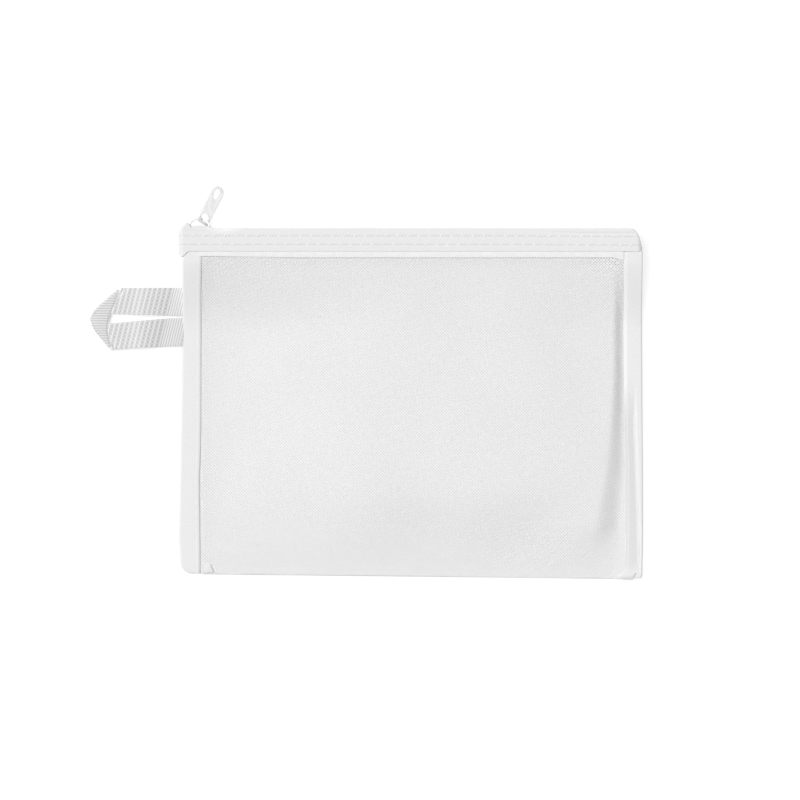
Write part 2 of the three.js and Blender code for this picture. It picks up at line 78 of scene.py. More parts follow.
def high(node):
    """Highest corner of a node of the frame."""
    return BOXES[node][1]


# Places taken from the frame
HALF_WIDTH = high("binding_right").x
SEAM_INNER_X = -high("binding_left").x
BINDING_TOP_Y = high("binding_left").y
PANEL_END_Y = low("binding_left").y
TRIM_BACK_Z = low("binding_left").z
TAPE_TOP_Y = high("zip_tape_front").y
TAPE_EDGE_Y = low("zip_tape_front").y
TAPE_FRONT_Z = high("zip_tape_front").z
TAPE_BACK_Z = low("zip_tape_back").z
ZIP_CENTRE_Z = (TAPE_FRONT_Z + TAPE_BACK_Z) / 2
TAPE_LEFT_X = low("zip_tape_front").x
TAPE_RIGHT_X = high("zip_tape_front").x
PANEL_TOP_Y = high("mesh_body").y
ZIP_PANEL_Z = high("mesh_body").z
COIL_TOP_Y = high("zip_coil_front").y


class PouchPanels(bpy.types.PropertyGroup):
    """Sizes of the net, its folds and its hem."""

    crown: bpy.props.FloatProperty(
        name="Crown", description="Height of the front panel at its middle",
        default=7.6 * MM, unit="LENGTH")
    right_crown: bpy.props.FloatProperty(
        name="Right crown", description="Height of the front panel beside the right-hand fold",
        default=5.4 * MM, unit="LENGTH")
    fold_height: bpy.props.FloatProperty(
        name="Bottom fold", description="Height of the fold along the bottom",
        default=1.6 * MM, unit="LENGTH")
    seam_height: bpy.props.FloatProperty(
        name="Seam height", description="Height of the front panel where it enters a side seam",
        default=1.7 * MM, unit="LENGTH")
    left_run: bpy.props.FloatProperty(
        name="Left run", description="Width over which the front panel rises from the left seam",
        default=95 * MM, unit="LENGTH")
    bottom_run: bpy.props.FloatProperty(
        name="Bottom run", description="Length over which the front panel rises from the bottom fold",
        default=45 * MM, unit="LENGTH")
    top_run: bpy.props.FloatProperty(
        name="Top run", description="Length over which the front panel rises to the zip",
        default=42 * MM, unit="LENGTH")
    hem_width: bpy.props.FloatProperty(
        name="Hem", description="Width of the turned-in hem that shows below each zip tape",
        default=3.1 * MM, unit="LENGTH")
    net_pitch: bpy.props.FloatProperty(
        name="Net pitch", description="Spacing of the threads of the net",
        default=1.08 * MM, unit="LENGTH", precision=5)
    net_thread: bpy.props.FloatProperty(
        name="Net thread", description="Share of the pitch that one thread covers",
        default=0.5, subtype="FACTOR")
    net_colour: bpy.props.StringProperty(
        name="Net colour", description="Colour of the net's threads, as an sRGB hex value",
        default="#FAFAFA")
    hem_thread: bpy.props.FloatProperty(
        name="Hem thread", description="Share of the pitch that one thread covers in the double hem",
        default=0.88, subtype="FACTOR")
    hem_colour: bpy.props.StringProperty(
        name="Hem colour", description="Colour of the double hem's threads, as an sRGB hex value",
        default="#F4F4F4")


class PouchTrims(bpy.types.PropertyGroup):
    """Sizes and colours of the bindings, the tapes, the coil and the stitches."""

    cloth: bpy.props.FloatProperty(
        name="Tape cloth", description="Thickness of the bindings and the zip tapes",
        default=0.5 * MM, unit="LENGTH", precision=5)
    left_corner: bpy.props.FloatProperty(
        name="Left corner", description="Radius of the left bottom corner",
        default=7 * MM, unit="LENGTH")
    right_corner: bpy.props.FloatProperty(
        name="Right corner", description="Radius of the right bottom corner",
        default=3 * MM, unit="LENGTH")
    shoulder: bpy.props.FloatProperty(
        name="Shoulder", description="Radius of a tape's bend towards the coil",
        default=1.2 * MM, unit="LENGTH", precision=5)
    wrap: bpy.props.FloatProperty(
        name="End wrap", description="Radius of a tape's ends round the sides",
        default=2.5 * MM, unit="LENGTH", precision=5)
    stitch: bpy.props.FloatProperty(
        name="Stitch", description="Length of one stitch of the tape rows",
        default=5.55 * MM, unit="LENGTH", precision=5)
    thread: bpy.props.FloatProperty(
        name="Thread", description="Diameter of the sewing thread",
        default=0.42 * MM, unit="LENGTH", precision=5)
    twill_pitch: bpy.props.FloatProperty(
        name="Twill pitch", description="Spacing of the diagonal ribs of the twill",
        default=1.1 * MM, unit="LENGTH", precision=5)
    coil_pitch: bpy.props.FloatProperty(
        name="Coil pitch", description="Spacing of the turns of one half of the coil",
        default=1.3 * MM, unit="LENGTH", precision=5)
    binding_colour: bpy.props.StringProperty(
        name="Binding colour", description="Colour of the bindings, as an sRGB hex value",
        default="#F1F1F1")
    tape_colour: bpy.props.StringProperty(
        name="Tape colour", description="Colour of the zip tapes, as an sRGB hex value",
        default="#EFEFEF")
    thread_colour: bpy.props.StringProperty(
        name="Thread colour", description="Colour of the sewing thread, as an sRGB hex value",
        default="#FFFFFF")
    coil_colour: bpy.props.StringProperty(
        name="Coil colour", description="Colour of the nylon coil, as an sRGB hex value",
        default="#F1F1F1")


class PouchHardware(bpy.types.PropertyGroup):
    """Rounding and colour of the slider and the pull tab, whose sizes come from the frame."""

    rounding: bpy.props.FloatProperty(
        name="Rounding", description="Width of the rounding along the casting's sharp edges",
        default=0.16 * MM, unit="LENGTH", precision=5)
    paint: bpy.props.StringProperty(
        name="Paint", description="Colour of the enamel, as an sRGB hex value",
        default="#E1E1E1")


class PouchLoop(bpy.types.PropertyGroup):
    """Sizes and colour of the hanging loop."""

    width: bpy.props.FloatProperty(
        name="Webbing width", description="Width of the webbing",
        default=14.7 * MM, unit="LENGTH")
    thickness: bpy.props.FloatProperty(
        name="Webbing thickness", description="Thickness of the webbing",
        default=1.1 * MM, unit="LENGTH", precision=5)
    rib: bpy.props.FloatProperty(
        name="Rib pitch", description="Spacing of the ribs across the webbing",
        default=1.28 * MM, unit="LENGTH", precision=5)
    colour: bpy.props.StringProperty(
        name="Webbing colour", description="Colour of the webbing, as an sRGB hex value",
        default="#E2E2E2")


class PouchStage(bpy.types.PropertyGroup):
    """Camera, lamps and backdrop."""

    frame_width: bpy.props.FloatProperty(
        name="Frame width", description="Width of the picture at the pouch",
        default=412.8 * MM, unit="LENGTH")
    lens: bpy.props.FloatProperty(
        name="Lens", description="Focal length of the camera, in millimetres", default=120.0)
    sky: bpy.props.FloatProperty(
        name="Sky", description="Strength of the even light from all round", default=0.3)
    fill: bpy.props.FloatProperty(
        name="Fill", description="Power of the small spot that faces the pull tab, in watts", default=0.07)
    fill_offset: bpy.props.FloatVectorProperty(
        name="Fill offset", description="Place of the small spot, from the middle of the pull tab",
        default=(0.0352, -0.0201, 0.0419), subtype="TRANSLATION", precision=4)
    fill_aim: bpy.props.FloatVectorProperty(
        name="Fill aim", description="Point that the small spot faces, from the middle of the pull tab",
        default=(0.5 * MM, 1.5 * MM, 0.0), subtype="TRANSLATION", precision=4)
    fill_cone: bpy.props.FloatProperty(
        name="Fill cone", description="Opening of the small spot",
        default=math.radians(24), subtype="ANGLE")
    fill_radius: bpy.props.FloatProperty(
        name="Fill radius", description="Radius of the small spot, which softens its shadows",
        default=4 * MM, unit="LENGTH", precision=4)
    key_height: bpy.props.FloatProperty(
        name="Key height", description="Height of the key light above the table",
        default=math.radians(60), subtype="ANGLE")
    key_side: bpy.props.FloatProperty(
        name="Key side", description="Direction of the key light, from +X towards +Y",
        default=math.radians(150), subtype="ANGLE")
    key_softness: bpy.props.FloatProperty(
        name="Key softness", description="Angle that the key light fills in the sky",
        default=math.radians(32), subtype="ANGLE")
    middle: bpy.props.FloatVectorProperty(
        name="Middle", description="Point in the middle of the picture, at half the pouch's height",
        default=(-5.68 * MM, 1.42 * MM, 5 * MM), subtype="TRANSLATION", precision=5)


def panels():
    return bpy.context.scene.pouch_panels


def trims():
    return bpy.context.scene.pouch_trims


def hardware():
    return bpy.context.scene.pouch_hardware


# Shapes by formula

def smooth(t):
    t = np.clip(t, 0, 1)
    return t * t * (3 - 2 * t)


def mix(a, b, t):
    return a + (b - a) * t


def hump(t):
    """1 at t = 0, falling smoothly to 0 at t = -1 and 1."""
    return smooth(1 - np.abs(t))


# The bindings' inner edges: how far each reaches past the frame's, up the bag
INNER_Y = np.array((-84, -71, -40, -30, -9, 53, 64, 78)) * MM
INNER_OUT = {-1: np.array((-0.4, -0.5, -0.8, -0.4, 0, 0.2, 0.6, 1.0)) * MM,
             1: np.array((-2.2, -2.2, -2.2, -2.2, -1.5, -1.25, -1.0, -0.6)) * MM}


def inner_edge(side, y):
    """Distance of a binding's inner edge from the middle."""
    return SEAM_INNER_X - np.interp(y, INNER_Y, INNER_OUT[side])


# The fold beside the right seam: heights up the bag, its distance from the seam and its width
FOLD_Y = np.array((-81, -66, -50, -30, -9, 12, 53, 70)) * MM
FOLD_GAP = np.array((14, 9.5, 7.5, 5, 3.6, 2.7, 2.6, 2.4)) * MM
FOLD_WIDTH = np.array((31, 13, 12, 10, 7.4, 5.6, 5.4, 5.4)) * MM


def front_height(x, y):
    """Height of the outer face of the front panel."""
    s = panels()
    rise = smooth((y - BINDING_TOP_Y + s.top_run) / s.top_run)
    base = mix(s.fold_height, s.crown, smooth((y - PANEL_END_Y) / s.bottom_run))
    left = smooth((SEAM_INNER_X + x) / s.left_run)
    from_right = inner_edge(1, y) - x
    gap, width = np.interp(y, FOLD_Y, FOLD_GAP), np.interp(y, FOLD_Y, FOLD_WIDTH)
    step = smooth((from_right - gap) / width + 0.5)
    plateau = np.minimum(base, s.right_crown)
    right_base = mix(plateau, base, smooth(from_right / (60 * MM)))
    across = mix(s.seam_height, right_base, step)
    across = mix(s.seam_height, across, left)
    ripples = 0.22 * MM * np.sin(x / (9.5 * MM) + 2.3 * np.sin(y / (31 * MM)))
    ripples += 0.18 * MM * np.sin(y / (7.5 * MM) + 1.7 * np.sin(x / (24 * MM)))
    calm = smooth((SEAM_INNER_X - np.abs(x)) / (25 * MM)) * (1 - rise) * smooth((y - PANEL_END_Y) / (20 * MM))
    return mix(across, ZIP_PANEL_Z, rise) + ripples * calm


def back_height(x, y):
    """Height of the outer face of the back panel, flat on the table away from the trims."""
    edge = TRIM_BACK_Z + 0.6 * MM
    run = 6 * MM
    side = smooth((np.abs(x) - SEAM_INNER_X + run) / run)
    top = smooth((y - BINDING_TOP_Y + run) / run)
    return edge * np.maximum(side, top)


# The bag's side edges: how far each stands in from the frame's edge, up the bag
EDGE_Y = np.array((-84, -70, -50, -25, 0, 40, 78)) * MM
EDGE_IN = {-1: np.array((-0.6, -1.35, -0.85, -0.45, 0.05, 0.7, 1.1)) * MM,
           1: np.array((-0.9, -1.2, -1.2, -1.1, -0.9, -0.6, -0.4)) * MM}


def bound_half_width(side, y, radius):
    """Distance of a side edge of the bound body from the middle, with its rounded bottom corner."""
    bottom = low("mesh_body").y
    into = np.maximum(0, bottom + radius - y)
    edge = HALF_WIDTH - np.interp(y, EDGE_Y, EDGE_IN[side])
    return edge - radius + np.sqrt(np.maximum(0, radius ** 2 - into ** 2))


# The lower edge sinks to the right by this much a millimetre, about this place, below this height
SLANT, SLANT_X = 0.0113, -5.7 * MM
SLANT_TOP_Y, SLANT_RUN = -50 * MM, 35 * MM


def slant_bottom(obj):
    """Lets the lower edge of a piece sink to the right, as the soft bag lies."""
    points = np.zeros(len(obj.data.vertices) * 3)
    obj.data.vertices.foreach_get("co", points)
    points = points.reshape(-1, 3)
    low_down = smooth((SLANT_TOP_Y - points[:, 1]) / SLANT_RUN)
    points[:, 1] -= SLANT * (points[:, 0] - SLANT_X) * low_down
    obj.data.vertices.foreach_set("co", points.ravel())
    obj.data.update()


# Meshes

def select_only(obj):
    bpy.ops.object.select_all(action="DESELECT")
    obj.select_set(True)
    bpy.context.view_layer.objects.active = obj


def apply_modifiers(obj):
    select_only(obj)
    for modifier in list(obj.modifiers):
        bpy.ops.object.modifier_apply(modifier=modifier.name)


def cloth_grid(name, points, uv):
    """A sheet from rows of points, with a UV map in metres along the cloth."""
    rows, columns = points.shape[:2]
    at = np.arange(rows * columns).reshape(rows, columns)
    faces = np.stack((at[:-1, :-1], at[:-1, 1:], at[1:, 1:], at[1:, :-1]), -1).reshape(-1, 4)
    mesh = bpy.data.meshes.new(name)
    mesh.from_pydata(points.reshape(-1, 3).tolist(), [], faces.tolist())
    layer = mesh.uv_layers.new(name="Weave")
    corners = np.zeros(len(mesh.loops), np.int32)
    mesh.loops.foreach_get("vertex_index", corners)
    layer.data.foreach_set("uv", uv.reshape(-1, 2)[corners].astype(np.float32).ravel())
    obj = bpy.data.objects.new(name, mesh)
    bpy.context.scene.collection.objects.link(obj)
    mesh.shade_smooth()
    return obj


def arc_lengths(points):
    """For a grid of points, the length along each row and along each column."""
    across = np.linalg.norm(np.diff(points, axis=1), axis=2)
    along = np.linalg.norm(np.diff(points, axis=0), axis=2)
    u = np.concatenate((np.zeros((points.shape[0], 1)), np.cumsum(across, 1)), 1)
    v = np.concatenate((np.zeros((1, points.shape[1])), np.cumsum(along, 0)), 0)
    return u, v


def thicken(obj, thickness, round_width):
    """Gives a sheet its thickness, half to each side, and rounds its rim."""
    wall = obj.modifiers.new("Thickness", "SOLIDIFY")
    wall.thickness = thickness
    wall.offset = 0.0
    wall.use_even_offset = False
    edge = obj.modifiers.new("Edge", "BEVEL")
    edge.width = round_width
    edge.segments = 2
    edge.limit_method = "ANGLE"
    edge.angle_limit = math.radians(60)
    apply_modifiers(obj)


def close_loft(obj):
    """Merges the seam of a closed loft, caps its ends and turns its faces out."""
    bm = bmesh.new()
    bm.from_mesh(obj.data)
    bmesh.ops.remove_doubles(bm, verts=bm.verts, dist=1e-7)
    rim = [e for e in bm.edges if e.is_boundary]
    bmesh.ops.holes_fill(bm, edges=rim, sides=0)
    bmesh.ops.recalc_face_normals(bm, faces=bm.faces)
    bm.to_mesh(obj.data)
    bm.free()
    select_only(obj)
    bpy.ops.object.shade_smooth_by_angle(angle=math.radians(40))


def strip_outline(centre, thickness):
    """Closed outline, round at both ends, of a strip along a flat centreline. Gives points and lengths."""
    centre = np.asarray(centre, float)
    tangent = np.gradient(centre, axis=0)
    tangent /= np.linalg.norm(tangent, axis=1)[:, None]
    normal = np.stack((-tangent[:, 1], tangent[:, 0]), 1)
    half = np.broadcast_to(np.asarray(thickness, float) / 2, (len(centre),))[:, None]
    cap = np.radians((-60, -20, 20, 60))
    end = [centre[-1] + half[-1] * (np.cos(a) * tangent[-1] - np.sin(a) * normal[-1]) for a in cap]
    start = [centre[0] - half[0] * (np.cos(a) * tangent[0] - np.sin(a) * normal[0]) for a in cap]
    over, under = centre + normal * half, (centre - normal * half)[::-1]
    loop = np.concatenate((over, np.array(end), under, np.array(start)))
    loop = np.concatenate((loop, loop[:1]))
    steps = np.linalg.norm(np.diff(loop, axis=0), axis=1)
    return loop, np.concatenate(([0], np.cumsum(steps)))


def tube(name, path, radius, sides=8):
    """A round filament along a path of points, by parallel transport of its section."""
    path = np.asarray(path, float)
    tangent = np.gradient(path, axis=0)
    tangent /= np.linalg.norm(tangent, axis=1)[:, None]
    side = np.cross(tangent[0], (0, 0, 1))
    if np.linalg.norm(side) < 1e-6:
        side = np.array((1.0, 0, 0))
    rings = []
    for t, p in zip(tangent, path):
        side = side - t * (side @ t)
        side /= np.linalg.norm(side)
        other = np.cross(t, side)
        angles = np.linspace(0, 2 * math.pi, sides, endpoint=False)
        rings.append(p + radius * (np.cos(angles)[:, None] * side + np.sin(angles)[:, None] * other))
    rings = np.array(rings)
    rings = np.concatenate((rings, rings[:, :1]), 1)
    u, v = arc_lengths(rings)
    obj = cloth_grid(name, rings, np.stack((v, u), -1))
    close_loft(obj)
    return obj


def dress(obj, material, body, slot, *nodes):
    """Gives a finished piece its material and the body it rides on, and hides the nodes it stands for."""
    obj.data.materials.clear()
    obj.data.materials.append(material)
    if body:
        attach(obj, body)
    if nodes:
        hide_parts(*nodes)
    return obj


def join(objects, name):
    """Joins pieces of one solid into one object."""
    select_only(objects[0])
    for o in objects:
        o.select_set(True)
    bpy.ops.object.join()
    obj = bpy.context.view_layer.objects.active
    obj.name = name
    obj.data.name = name
    return obj


# Materials

def linear(hex_colour):
    """An sRGB hex value as linear RGBA."""
    parts = [int(hex_colour[i:i + 2], 16) / 255 for i in (1, 3, 5)]
    return [c / 12.92 if c <= 0.04045 else ((c + 0.055) / 1.055) ** 2.4 for c in parts] + [1.0]


def add(tree, kind, inputs=(), **settings):
    """Adds a node with its settings and returns it. Its inputs, by name or in order, are set or linked,
    and a node given as an input is linked by its first output."""
    node = tree.nodes.new("ShaderNode" + kind)
    for key, value in settings.items():
        setattr(node, key, value)
    for key, value in inputs.items() if isinstance(inputs, dict) else enumerate(inputs):
        if isinstance(value, bpy.types.Node):
            value = value.outputs[0]
        if isinstance(value, bpy.types.NodeSocket):
            tree.links.new(value, node.inputs[key])
        else:
            node.inputs[key].default_value = value
    return node


def new_material(name, hex_colour, roughness, **sockets):
    """A Principled material. Returns it with its tree and its shader."""
    material = bpy.data.materials.new(name)
    material.use_nodes = True
    tree = material.node_tree
    shader = tree.nodes["Principled BSDF"]
    shader.inputs["Base Color"].default_value = linear(hex_colour)
    shader.inputs["Roughness"].default_value = roughness
    for key, value in sockets.items():
        shader.inputs[key.replace("_", " ")].default_value = value
    return material, tree, shader


def shared(make, name, hex_colour):
    """A material that several operators use, made by the first of them."""
    return bpy.data.materials.get(name) or make(name, hex_colour)


def tinted(tree, shader, hex_colour, dark, factor):
    """Base colour that falls from the full colour to a share of it where factor is 1, and on past 1."""
    full = linear(hex_colour)
    shade = [c * dark for c in full[:3]] + [1.0]
    blend = add(tree, "Mix", {0: factor, 6: full, 7: shade}, data_type="RGBA", clamp_factor=False)
    tree.links.new(blend.outputs[2], shader.inputs["Base Color"])


def bumped(tree, shader, height, strength, distance):
    """Lets a height shape the light on a surface, up to a real distance."""
    bump = add(tree, "Bump", {"Strength": strength, "Distance": distance, "Height": height})
    tree.links.new(bump.outputs["Normal"], shader.inputs["Normal"])


def weave_lengths(tree):
    """Place on the cloth in metres: as a vector, along the cloth and across it."""
    weave = add(tree, "UVMap", uv_map="Weave")
    parts = add(tree, "SeparateXYZ", [weave])
    return weave, parts.outputs["X"], parts.outputs["Y"]


def slanted(tree, along, across, per_along, per_across):
    """A measure that grows over the cloth on the slant."""
    part = add(tree, "Math", (along, per_along), operation="MULTIPLY")
    return add(tree, "Math", (across, per_across, part), operation="MULTIPLY_ADD")


def net_material(name, hex_colour, pitch, share, turn):
    """Sheer polyester net, plain woven from fine round threads: white where threads cross, open between.
    The photo's pattern repeats every 0.95 to 1.04 mm, though a finer net can also look like that in
    its pixels, so the real spacing isn't known. It is drawn at about 1 mm, so that it shows."""
    material, tree, shader = new_material(name, hex_colour, 0.62)
    weave, along, across = weave_lengths(tree)
    c, s = math.cos(turn) / pitch, math.sin(turn) / pitch
    half, soft = share / 2, 0.06
    threads = []
    for per_along, per_across in ((c, s), (-s, c)):
        place = slanted(tree, along, across, per_along, per_across)
        from_thread = add(tree, "Math", (place, 0.5), operation="PINGPONG")
        threads.append(add(tree, "MapRange", (from_thread, half - soft, half + soft, 1.0, 0.0),
                           interpolation_type="SMOOTHSTEP"))
    cover = add(tree, "Math", threads, operation="MAXIMUM")
    slub = add(tree, "TexNoise", {"Vector": weave, "Scale": 0.55 / pitch, "Detail": 3.0})
    uneven = add(tree, "MapRange", (slub.outputs["Fac"], 0.3, 0.7))
    # Painted shade: the threads away from the weft are drawn darker than the weft threads. The slub darkens
    # the threads at random as well.
    beside_weft = add(tree, "Math", (1.0, threads[1]), operation="SUBTRACT")
    slubby = add(tree, "Math", (uneven, 0.7), operation="MULTIPLY")
    warp_shade_and_slub = add(tree, "Math", (beside_weft, slubby), operation="MAXIMUM")
    tinted(tree, shader, hex_colour, 0.88, warp_shade_and_slub)
    tree.links.new(cover.outputs[0], shader.inputs["Alpha"])
    return material


def twill_material(name, hex_colour, pitch, rise, rows=()):
    """Polyester twill tape, woven with fine diagonal ribs and heat set flat: matt, with a faint slanting
    grain whose hollows are painted darker as painted shade, and a thin painted shade along each long stitch
    of the rows given."""
    material, tree, shader = new_material(name, hex_colour, 0.78, Sheen_Weight=0.15, Sheen_Roughness=0.5)
    weave, along, across = weave_lengths(tree)
    turns = 2 * math.pi / pitch
    place = slanted(tree, along, across, turns * math.cos(rise), turns * math.sin(rise))
    grain = add(tree, "TexNoise", {"Vector": weave, "Scale": 0.45 / pitch, "Detail": 2.0})
    warped = add(tree, "Math", (grain.outputs["Fac"], 3.0, place), operation="MULTIPLY_ADD")
    wave = add(tree, "Math", [warped], operation="SINE")
    rib = add(tree, "Math", (wave, 0.5, 0.5), operation="MULTIPLY_ADD")
    relief_noise = add(tree, "TexNoise", {"Vector": weave, "Scale": 0.9 / pitch, "Detail": 1.0})
    scaled_relief_noise = add(tree, "Math", (relief_noise.outputs["Fac"], 0.6), operation="MULTIPLY")
    height = add(tree, "Math", (rib, 0.45, scaled_relief_noise), operation="MULTIPLY_ADD")
    bumped(tree, shader, height, 1.0, 0.07 * MM)
    # Painted shade: the hollows of the ribs and of the relief noise are drawn darker in the base colour.
    painted_hollow_shade = add(tree, "Math", (1.0, height), operation="SUBTRACT")
    if rows:
        painted_hollow_shade = stitch_shade(tree, painted_hollow_shade, rows)
    tinted(tree, shader, hex_colour, 0.88, painted_hollow_shade)
    return material


def stitch_shade(tree, painted_hollow_shade, rows):
    """Hollows of a twill with a thin painted shade along each long stitch, for the shade in the groove that
    the stitch pulls in. A row is its height on the bag, the place of one hole, and the length of a stitch."""
    place = add(tree, "TexCoord")
    at = add(tree, "SeparateXYZ", {"Vector": place.outputs["Object"]})
    droop = add(tree, "MapRange", (at.outputs["X"], DROOP_START_X, DROOP_END_X, 0.0, ROW_DROOP),
                interpolation_type="SMOOTHSTEP")
    height = add(tree, "Math", (at.outputs["Y"], droop), operation="ADD")
    for row_y, hole, length in rows:
        above = add(tree, "Math", (height, row_y), operation="SUBTRACT")
        off = add(tree, "Math", [above], operation="ABSOLUTE")
        # Counted from a hole well left of the bag, so that the distance is never negative
        from_hole = add(tree, "Math", (at.outputs["X"], hole - 40 * length), operation="SUBTRACT")
        nearest = add(tree, "Math", (from_hole, length / 2), operation="PINGPONG")
        clear = add(tree, "MapRange", (nearest, 0.08 * length, 0.16 * length),
                    interpolation_type="SMOOTHSTEP")
        close = add(tree, "MapRange", (off, 0.34 * MM, 0.1 * MM), interpolation_type="SMOOTHSTEP")
        # Painted shade: a thin dark dash along the groove under each stitch, clear of its holes.
        dash = add(tree, "Math", (clear, close), operation="MULTIPLY")
        painted_hollow_shade = add(tree, "Math", (dash, 1.2, painted_hollow_shade), operation="MULTIPLY_ADD")
    return painted_hollow_shade


def webbing_material(name, hex_colour, rib, row, ribbed, tip):
    """Ribbed polyester webbing, woven with thick picks: rows of slanted hollows and raised picks on its face,
    plain ribs on its back. The stretches given as ribbed show the ribs alone, and the tip a selvedge. In the
    base colour the hollows and the grooves between the ribs are painted shade, and the raised picks and the
    selvedge are painted highlight."""
    material, tree, shader = new_material(name, hex_colour, 0.7, Sheen_Weight=0.1, Sheen_Roughness=0.5)
    weave, along, across = weave_lengths(tree)
    plain = inside(tree, along, *ribbed[0])
    for start, end in ribbed[1:]:
        plain = add(tree, "Math", (plain, inside(tree, along, start, end)), operation="MAXIMUM")
    face = add(tree, "Math", (1.0, plain), operation="SUBTRACT")
    ribs = add(tree, "Math", (along, rib), operation="DIVIDE")
    between = add(tree, "Math", (ribs, 1.0), operation="PINGPONG")
    picks = add(tree, "Math", (across, row), operation="DIVIDE")
    beside = add(tree, "Math", (picks, 0.5), operation="PINGPONG")
    relief = 0.0
    # Depth of the hollows and height of the picks, for their bump and for their painted shade and highlight,
    # with where each starts and ends along and across
    hollows, raised = (0.75, (0.42, 0.08), (0.0, 0.3)), (-0.5, (0.6, 0.95), (0.05, 0.35))
    for depth, ends_along, ends_across in (hollows, raised):
        here = add(tree, "MapRange", (between, *ends_along), interpolation_type="SMOOTHSTEP")
        there = add(tree, "MapRange", (beside, *ends_across), interpolation_type="SMOOTHSTEP")
        spot = add(tree, "Math", (here, there), operation="MULTIPLY")
        relief = add(tree, "Math", (spot, depth, relief), operation="MULTIPLY_ADD")
    relief = add(tree, "Math", (relief, face), operation="MULTIPLY")
    shifted = add(tree, "Math", (ribs, 0.5), operation="ADD")
    from_groove = add(tree, "Math", (shifted, 0.5), operation="PINGPONG")
    groove = add(tree, "MapRange", (from_groove, 0.3, 0.0), interpolation_type="SMOOTHSTEP")
    strength = add(tree, "Math", (plain, 0.4, 0.3), operation="MULTIPLY_ADD")
    painted_shade_and_highlight = add(tree, "Math", (groove, strength, relief), operation="MULTIPLY_ADD")
    # Painted highlight: the selvedge along the tip's edge is drawn lighter than the rest of the webbing.
    rim = add(tree, "MapRange", (across, 1.7 * MM, 1.2 * MM), interpolation_type="SMOOTHSTEP")
    selvedge = add(tree, "Math", (inside(tree, along, *tip), rim), operation="MULTIPLY")
    woven = add(tree, "Math", (1.0, selvedge), operation="SUBTRACT")
    painted_shade_and_highlight = add(tree, "Math", (painted_shade_and_highlight, woven), operation="MULTIPLY")
    painted_shade_and_highlight = add(tree, "Math", (selvedge, -0.8, painted_shade_and_highlight), operation="MULTIPLY_ADD")
    height = add(tree, "Math", (1.0, painted_shade_and_highlight), operation="SUBTRACT")
    bumped(tree, shader, height, 1.0, 0.2 * MM)
    # Painted shade in the hollows and grooves, painted highlight on the raised picks and the selvedge, in the
    # base colour.
    tinted(tree, shader, hex_colour, 0.64, painted_shade_and_highlight)
    return material


def inside(tree, value, start, end):
    """1 where a value lies between start and end, with a soft step of 0.8 mm at each."""
    soft = 0.4 * MM
    past = add(tree, "MapRange", (value, start - soft, start + soft), interpolation_type="SMOOTHSTEP")
    short = add(tree, "MapRange", (value, end + soft, end - soft), interpolation_type="SMOOTHSTEP")
    return add(tree, "Math", (past, short), operation="MULTIPLY")


def thread_material(name, hex_colour):
    """Spun polyester sewing thread, twisted from three plies: bright, with a slanting twist whose grooves are
    painted darker, as painted shade.
    """
    material, tree, shader = new_material(name, hex_colour, 0.55, Sheen_Weight=0.2)
    weave, along, across = weave_lengths(tree)
    twist = slanted(tree, along, across, 2 * math.pi / (0.9 * MM), 2 * math.pi / (0.45 * MM))
    wave = add(tree, "Math", [twist], operation="SINE")
    ply = add(tree, "Math", (wave, 0.5, 0.5), operation="MULTIPLY_ADD")
    bumped(tree, shader, ply, 0.5, 0.04 * MM)
    # Painted shade: the grooves between the plies are drawn darker in the base colour.
    tinted(tree, shader, hex_colour, 0.9, add(tree, "Math", (1.0, ply), operation="SUBTRACT"))
    return material


def nylon_material(name, hex_colour):
    """Nylon monofilament, drawn and heat set into a coil: smooth, a little milky, with soft highlights."""
    material, tree, shader = new_material(name, hex_colour, 0.38, Subsurface_Weight=0.15,
                                          Subsurface_Scale=0.5 * MM)
    place = add(tree, "TexCoord")
    haze = add(tree, "TexNoise", {"Vector": place.outputs["Object"], "Scale": 900.0, "Detail": 2.0})
    tinted(tree, shader, hex_colour, 0.94, haze.outputs["Fac"])
    return material


def enamel_material(name, hex_colour):
    """White stoving enamel over a zinc die casting: even and satin, with the faint ripple of a spray."""
    material, tree, shader = new_material(name, hex_colour, 0.4, Coat_Weight=0.4, Coat_Roughness=0.2)
    place = add(tree, "TexCoord").outputs["Object"]
    peel = add(tree, "TexNoise", {"Vector": place, "Scale": 1400.0, "Detail": 2.0})
    bumped(tree, shader, peel.outputs["Fac"], 0.25, 0.02 * MM)
    patch = add(tree, "TexNoise", {"Vector": place, "Scale": 260.0, "Detail": 3.0})
    tinted(tree, shader, hex_colour, 0.965, patch.outputs["Fac"])
    return material


# Operators, one for each piece or group of like pieces

